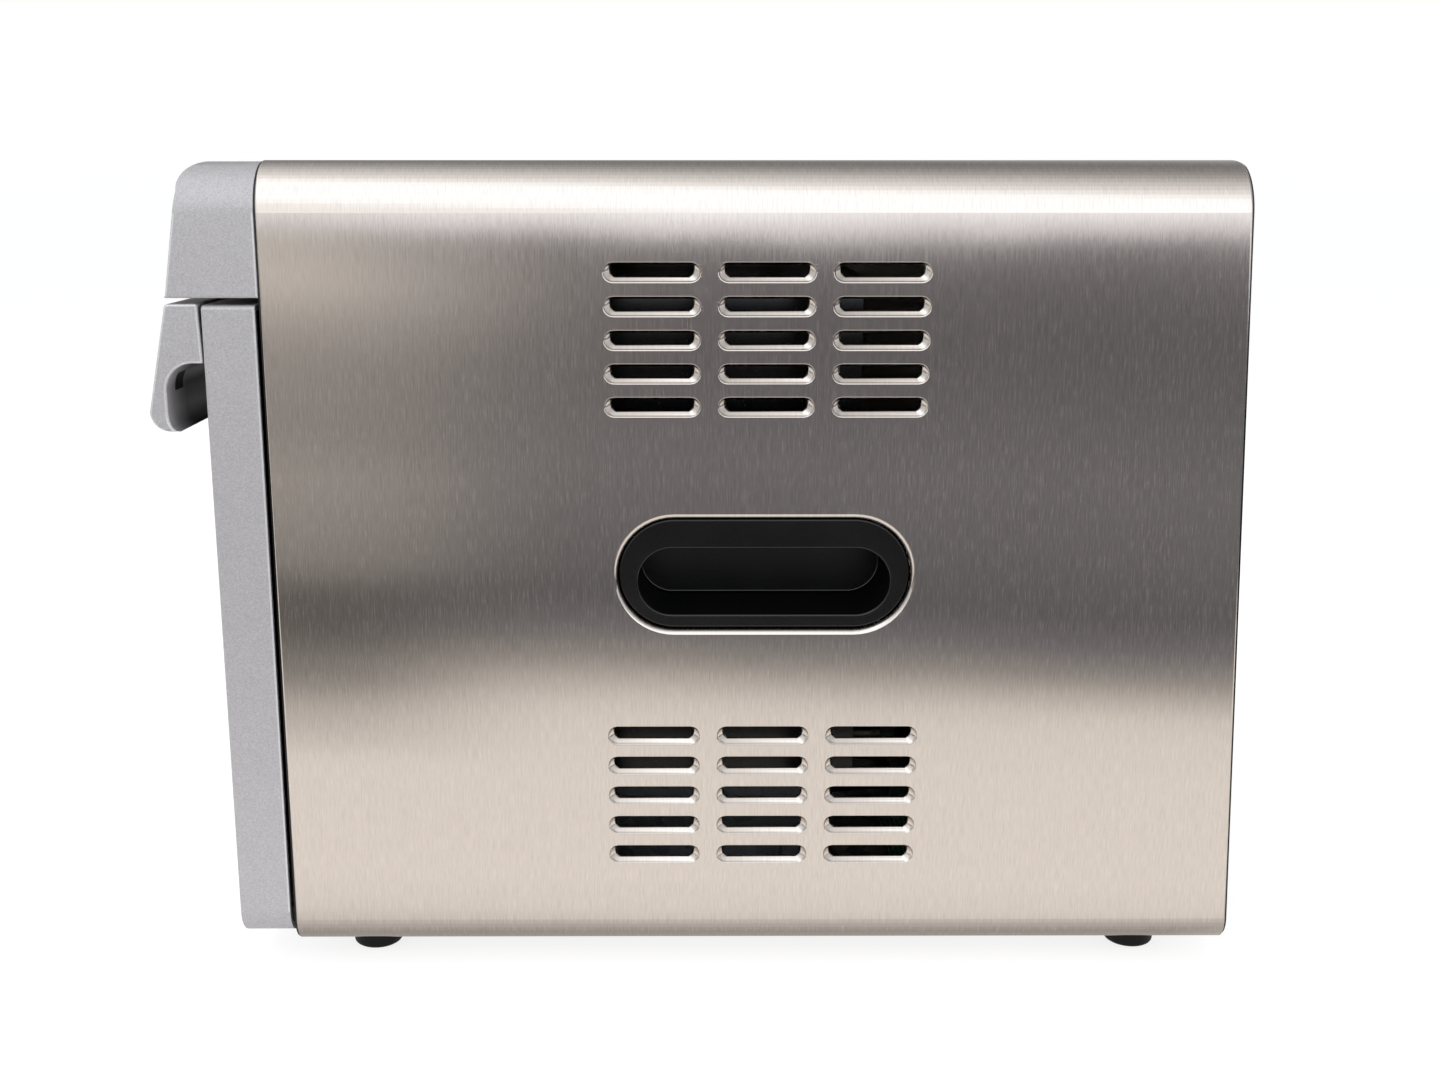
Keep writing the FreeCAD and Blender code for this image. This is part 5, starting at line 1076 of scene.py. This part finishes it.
def rounded_outline(piece, width, finish):
    """Rounds the edges of a moulding's two flat ends and the long edges between them, in a lighter finish of their
    own: a painted highlight along the outline.
    """
    work = bmesh.new()
    work.from_mesh(piece.data)
    weight = work.edges.layers.float.new("bevel_weight_edge")
    end = max(abs(vert.co.x) for vert in work.verts) - ON_SIDE
    for edge in work.edges:
        low, high = sorted(vert.co.x for vert in edge.verts)
        on_end = low > end or high < -end
        between = high - low > 1.5 * end and edge.is_convex
        if len(edge.link_faces) == 2 and edge.calc_face_angle() > radians(60) and (on_end or between):
            edge[weight] = 1.0
    work.to_mesh(piece.data)
    work.free()
    piece.data.materials.append(finish)
    rounding = piece.modifiers.new("rounded_outline", "BEVEL")
    rounding.limit_method = "WEIGHT"
    rounding.width = width
    rounding.segments = 3
    rounding.use_clamp_overlap = False
    rounding.material = 1
    piece.modifiers.move(1, 0)
    piece.modifiers["eased_edges"].harden_normals = False
    even = piece.modifiers.new("even_faces", "WEIGHTED_NORMAL")
    even.weight = 90
    even.keep_sharp = True


silver_paint = silver_painted("silver_metallic_paint_on_abs")
# the rounded edges get a lighter silver: a painted highlight along the mouldings' outlines
edge_highlight_paint = silver_painted("silver_paint_painted_edge_highlight", "#c0bfc1", "#d0cfd1")
shell_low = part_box("door_shell")[0]
door_shell = eased("door_shell", "door_shell_moulding", 0.8 * MM, silver_paint, "silver_paint", segments=3)
rolled_corner(door_shell.data, radius=5.0 * MM, y=shell_low.y, z=shell_low.z)
scored(door_shell.data, shell_low.y + 1.5 * MM, width=0.3 * MM, depth=0.25 * MM)
rounded_outline(door_shell, 0.8 * MM, edge_highlight_paint)
eased("door_liner", "enamelled_liner", 0.3 * MM, enamel, "chamber_sheet")

# toughened float glass, lightly smoked, with the faint green of its iron
ROLLER_WAVE = 60 * MM
smoked_glass, tree, place = new_material("toughened_smoked_glass")
roller = add(tree, "TexNoise", {"Vector": place, "Scale": 1 / ROLLER_WAVE, "Detail": 1.0})
surfaced(tree, {
    "Base Color": add(tree, "ValToRGB", {0: roller}, stops=[(0.2, "#9aa3a1"), (0.8, "#a4acaa")]),
    "Roughness": 0.02,
    "IOR": 1.52,
    "Transmission Weight": 1.0,
}, (roller, 0.2, 0.05 * MM))
eased("door_outer_glass", "outer_pane", 0.4 * MM, smoked_glass, "dark_glass")
eased("door_inner_glass", "inner_pane", 0.4 * MM, smoked_glass, "dark_glass")
silicone = moulded("grey_silicone_seal", "#3a3c3e", "#4a4c4e", 0.8 * MM, 0.02 * MM, 0.5)
eased("door_gasket", "silicone_seal", 0.5 * MM, silicone, "seal_rubber", segments=3)
dressed(plated, "door_hinge_pins", "handle_pins", "latch_pin", "latch_hook")


# ---- Handle ----
# A full-width pull of the same painted ABS, hinged to the door's top: gripped from below, it rocks forward
# and its tail turns the latch.
GRIP_FRONT = 40.4 * MM
GRIP_ROOF = 29.0 * MM
GRIP_RADIUS = 11.0 * MM
GRIP_SPRING = 17.0 * MM
LIP_HEIGHT = 8.0 * MM
LIP_SLOPE = 5.2 * MM
# inside the grip the paint darkens to near black with depth: painted shade in the hollow
handle_paint = silver_painted("silver_paint_painted_shade_inside_grip", shade_depth=26.0 * MM)
handle = eased("door_handle", "full_width_handle", 1.0 * MM, handle_paint, "silver_paint", segments=3)
handle_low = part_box("door_handle")[0]
grip_y = front_y - GRIP_FRONT

# the grip's wall runs down almost straight and turns under in a small radius at its lip: how far in it stands
# at each height, in mm
LIP = {4.5: 0.3, 2.0: 1.3, 0.5: 2.8}
ON_LEVEL = 0.02 * MM
ON_WALL = 0.1 * MM
grip_bm = bmesh.new()
grip_bm.from_mesh(handle.data)
for level in LIP:
    sliced(grip_bm, (0, 0, handle_low.z + level * MM), (0, 0, 1))
for vert in grip_bm.verts:
    height = vert.co.z - handle_low.z
    sloped = grip_y + LIP_SLOPE * (1 - height / LIP_HEIGHT)
    for level, inset in LIP.items():
        if abs(height - level * MM) < ON_LEVEL and abs(vert.co.y - sloped) < ON_WALL:
            vert.co.y = grip_y + inset * MM
grip_bm.to_mesh(handle.data)
grip_bm.free()

# the grip's inner walls and the faces turned into it are marked for that painted shade
unpainted = handle.data.attributes.new("unpainted", "FLOAT", "FACE")
for polygon in handle.data.polygons:
    centre, facing = polygon.center, polygon.normal
    in_grip = centre.y > grip_y - 2 * ON_WALL and centre.z < handle_low.z + GRIP_ROOF
    wall = abs(facing.x) < 0.5 and facing.z > -0.99
    unpainted.data[polygon.index].value = float(in_grip and (wall or facing.y > 0.3))
rounded_outline(handle, 1.0 * MM, edge_highlight_paint)

# a dark slot left by the mould's slide, low in the bend of the wall at each end, drawn as a thin black piece with
# next to no shine, a painted shadow in place of the hole's depth: its face stands just proud of the bend and its
# back is sunk in it
SLIDE_NEAR = 178.0 * MM
SLIDE_FAR = 167.5 * MM
SLIDE_PROUD = 0.08 * MM
SLIDE_SUNK = 0.3 * MM
SLIDE_TURNS = (-7, 0, 8, 16, 24, 32)
slide_outline = []
for proud, turns in ((SLIDE_PROUD, SLIDE_TURNS), (-SLIDE_SUNK, reversed(SLIDE_TURNS))):
    for turn in turns:
        angle = radians(turn)
        radius = GRIP_RADIUS - proud
        y = grip_y + GRIP_RADIUS - radius * cos(max(angle, 0.0))
        slide_outline.append((y, handle_low.z + GRIP_SPRING + radius * sin(angle)))
slide_bm = bmesh.new()
for sx in (-1, 1):
    ends = [[slide_bm.verts.new((sx * x, y, z)) for y, z in slide_outline] for x in (SLIDE_FAR, SLIDE_NEAR)]
    bridged(slide_bm, ends)
    for end in ends:
        slide_bm.faces.new(end)
slot_shadow_abs = moulded("black_abs_painted_slot_shadow", "#000000", "#020202", 0.6 * MM, 0.01 * MM, 0.5, specular=0.05)
place_of(finished(slide_bm, "handle_moulding_slots"), slot_shadow_abs, "black_plastic", "handle")


# ---- Control fascia ----
# A painted moulding that leans back, with a smoked display window, four oblong keys and two round ones. Each
# key is a cap of its own that slides straight in through the moulding.
fascia = eased("fascia", "fascia_moulding", 0.8 * MM, silver_paint, "silver_paint", segments=3)
rounded_outline(fascia, 0.9 * MM, edge_highlight_paint)
SMOKE_WIDTH = 20 * MM
lens, tree, place = new_material("smoked_acrylic_display_lens")
smoke = add(tree, "TexNoise", {"Vector": place, "Scale": 1 / SMOKE_WIDTH, "Detail": 1.0})
surfaced(tree, {
    "Base Color": add(tree, "ValToRGB", {0: smoke}, stops=[(0.2, "#08090a"), (0.8, "#0f1112")]),
    "Roughness": 0.06,
    "Specular IOR Level": 0.35,
})
eased("display_lens", "display_window", 0.3 * MM, lens, "display_lens")
key_grey = moulded("grey_keycap_abs", "#4a4c50", "#585a5e", 0.5 * MM, 0.02 * MM, 0.4)
for number in range(1, 5):
    eased(f"button_{number}", f"keycap_{number}", 0.5 * MM, key_grey, "grey_plastic", segments=3)
bright_key = worked_metal("brushed_aluminium_key", "#cfd0d2", "#b6b7ba", 0.5 * MM, 0.01 * MM, 0.3)
eased("start_button", "start_key", 0.7 * MM, bright_key, "bright_button", segments=3)
eased("stop_button", "stop_key", 0.7 * MM, bright_key, "bright_button", segments=3)


size = {"cad": [list(v) for v in cad_box], "visual": [list(v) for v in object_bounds()]}
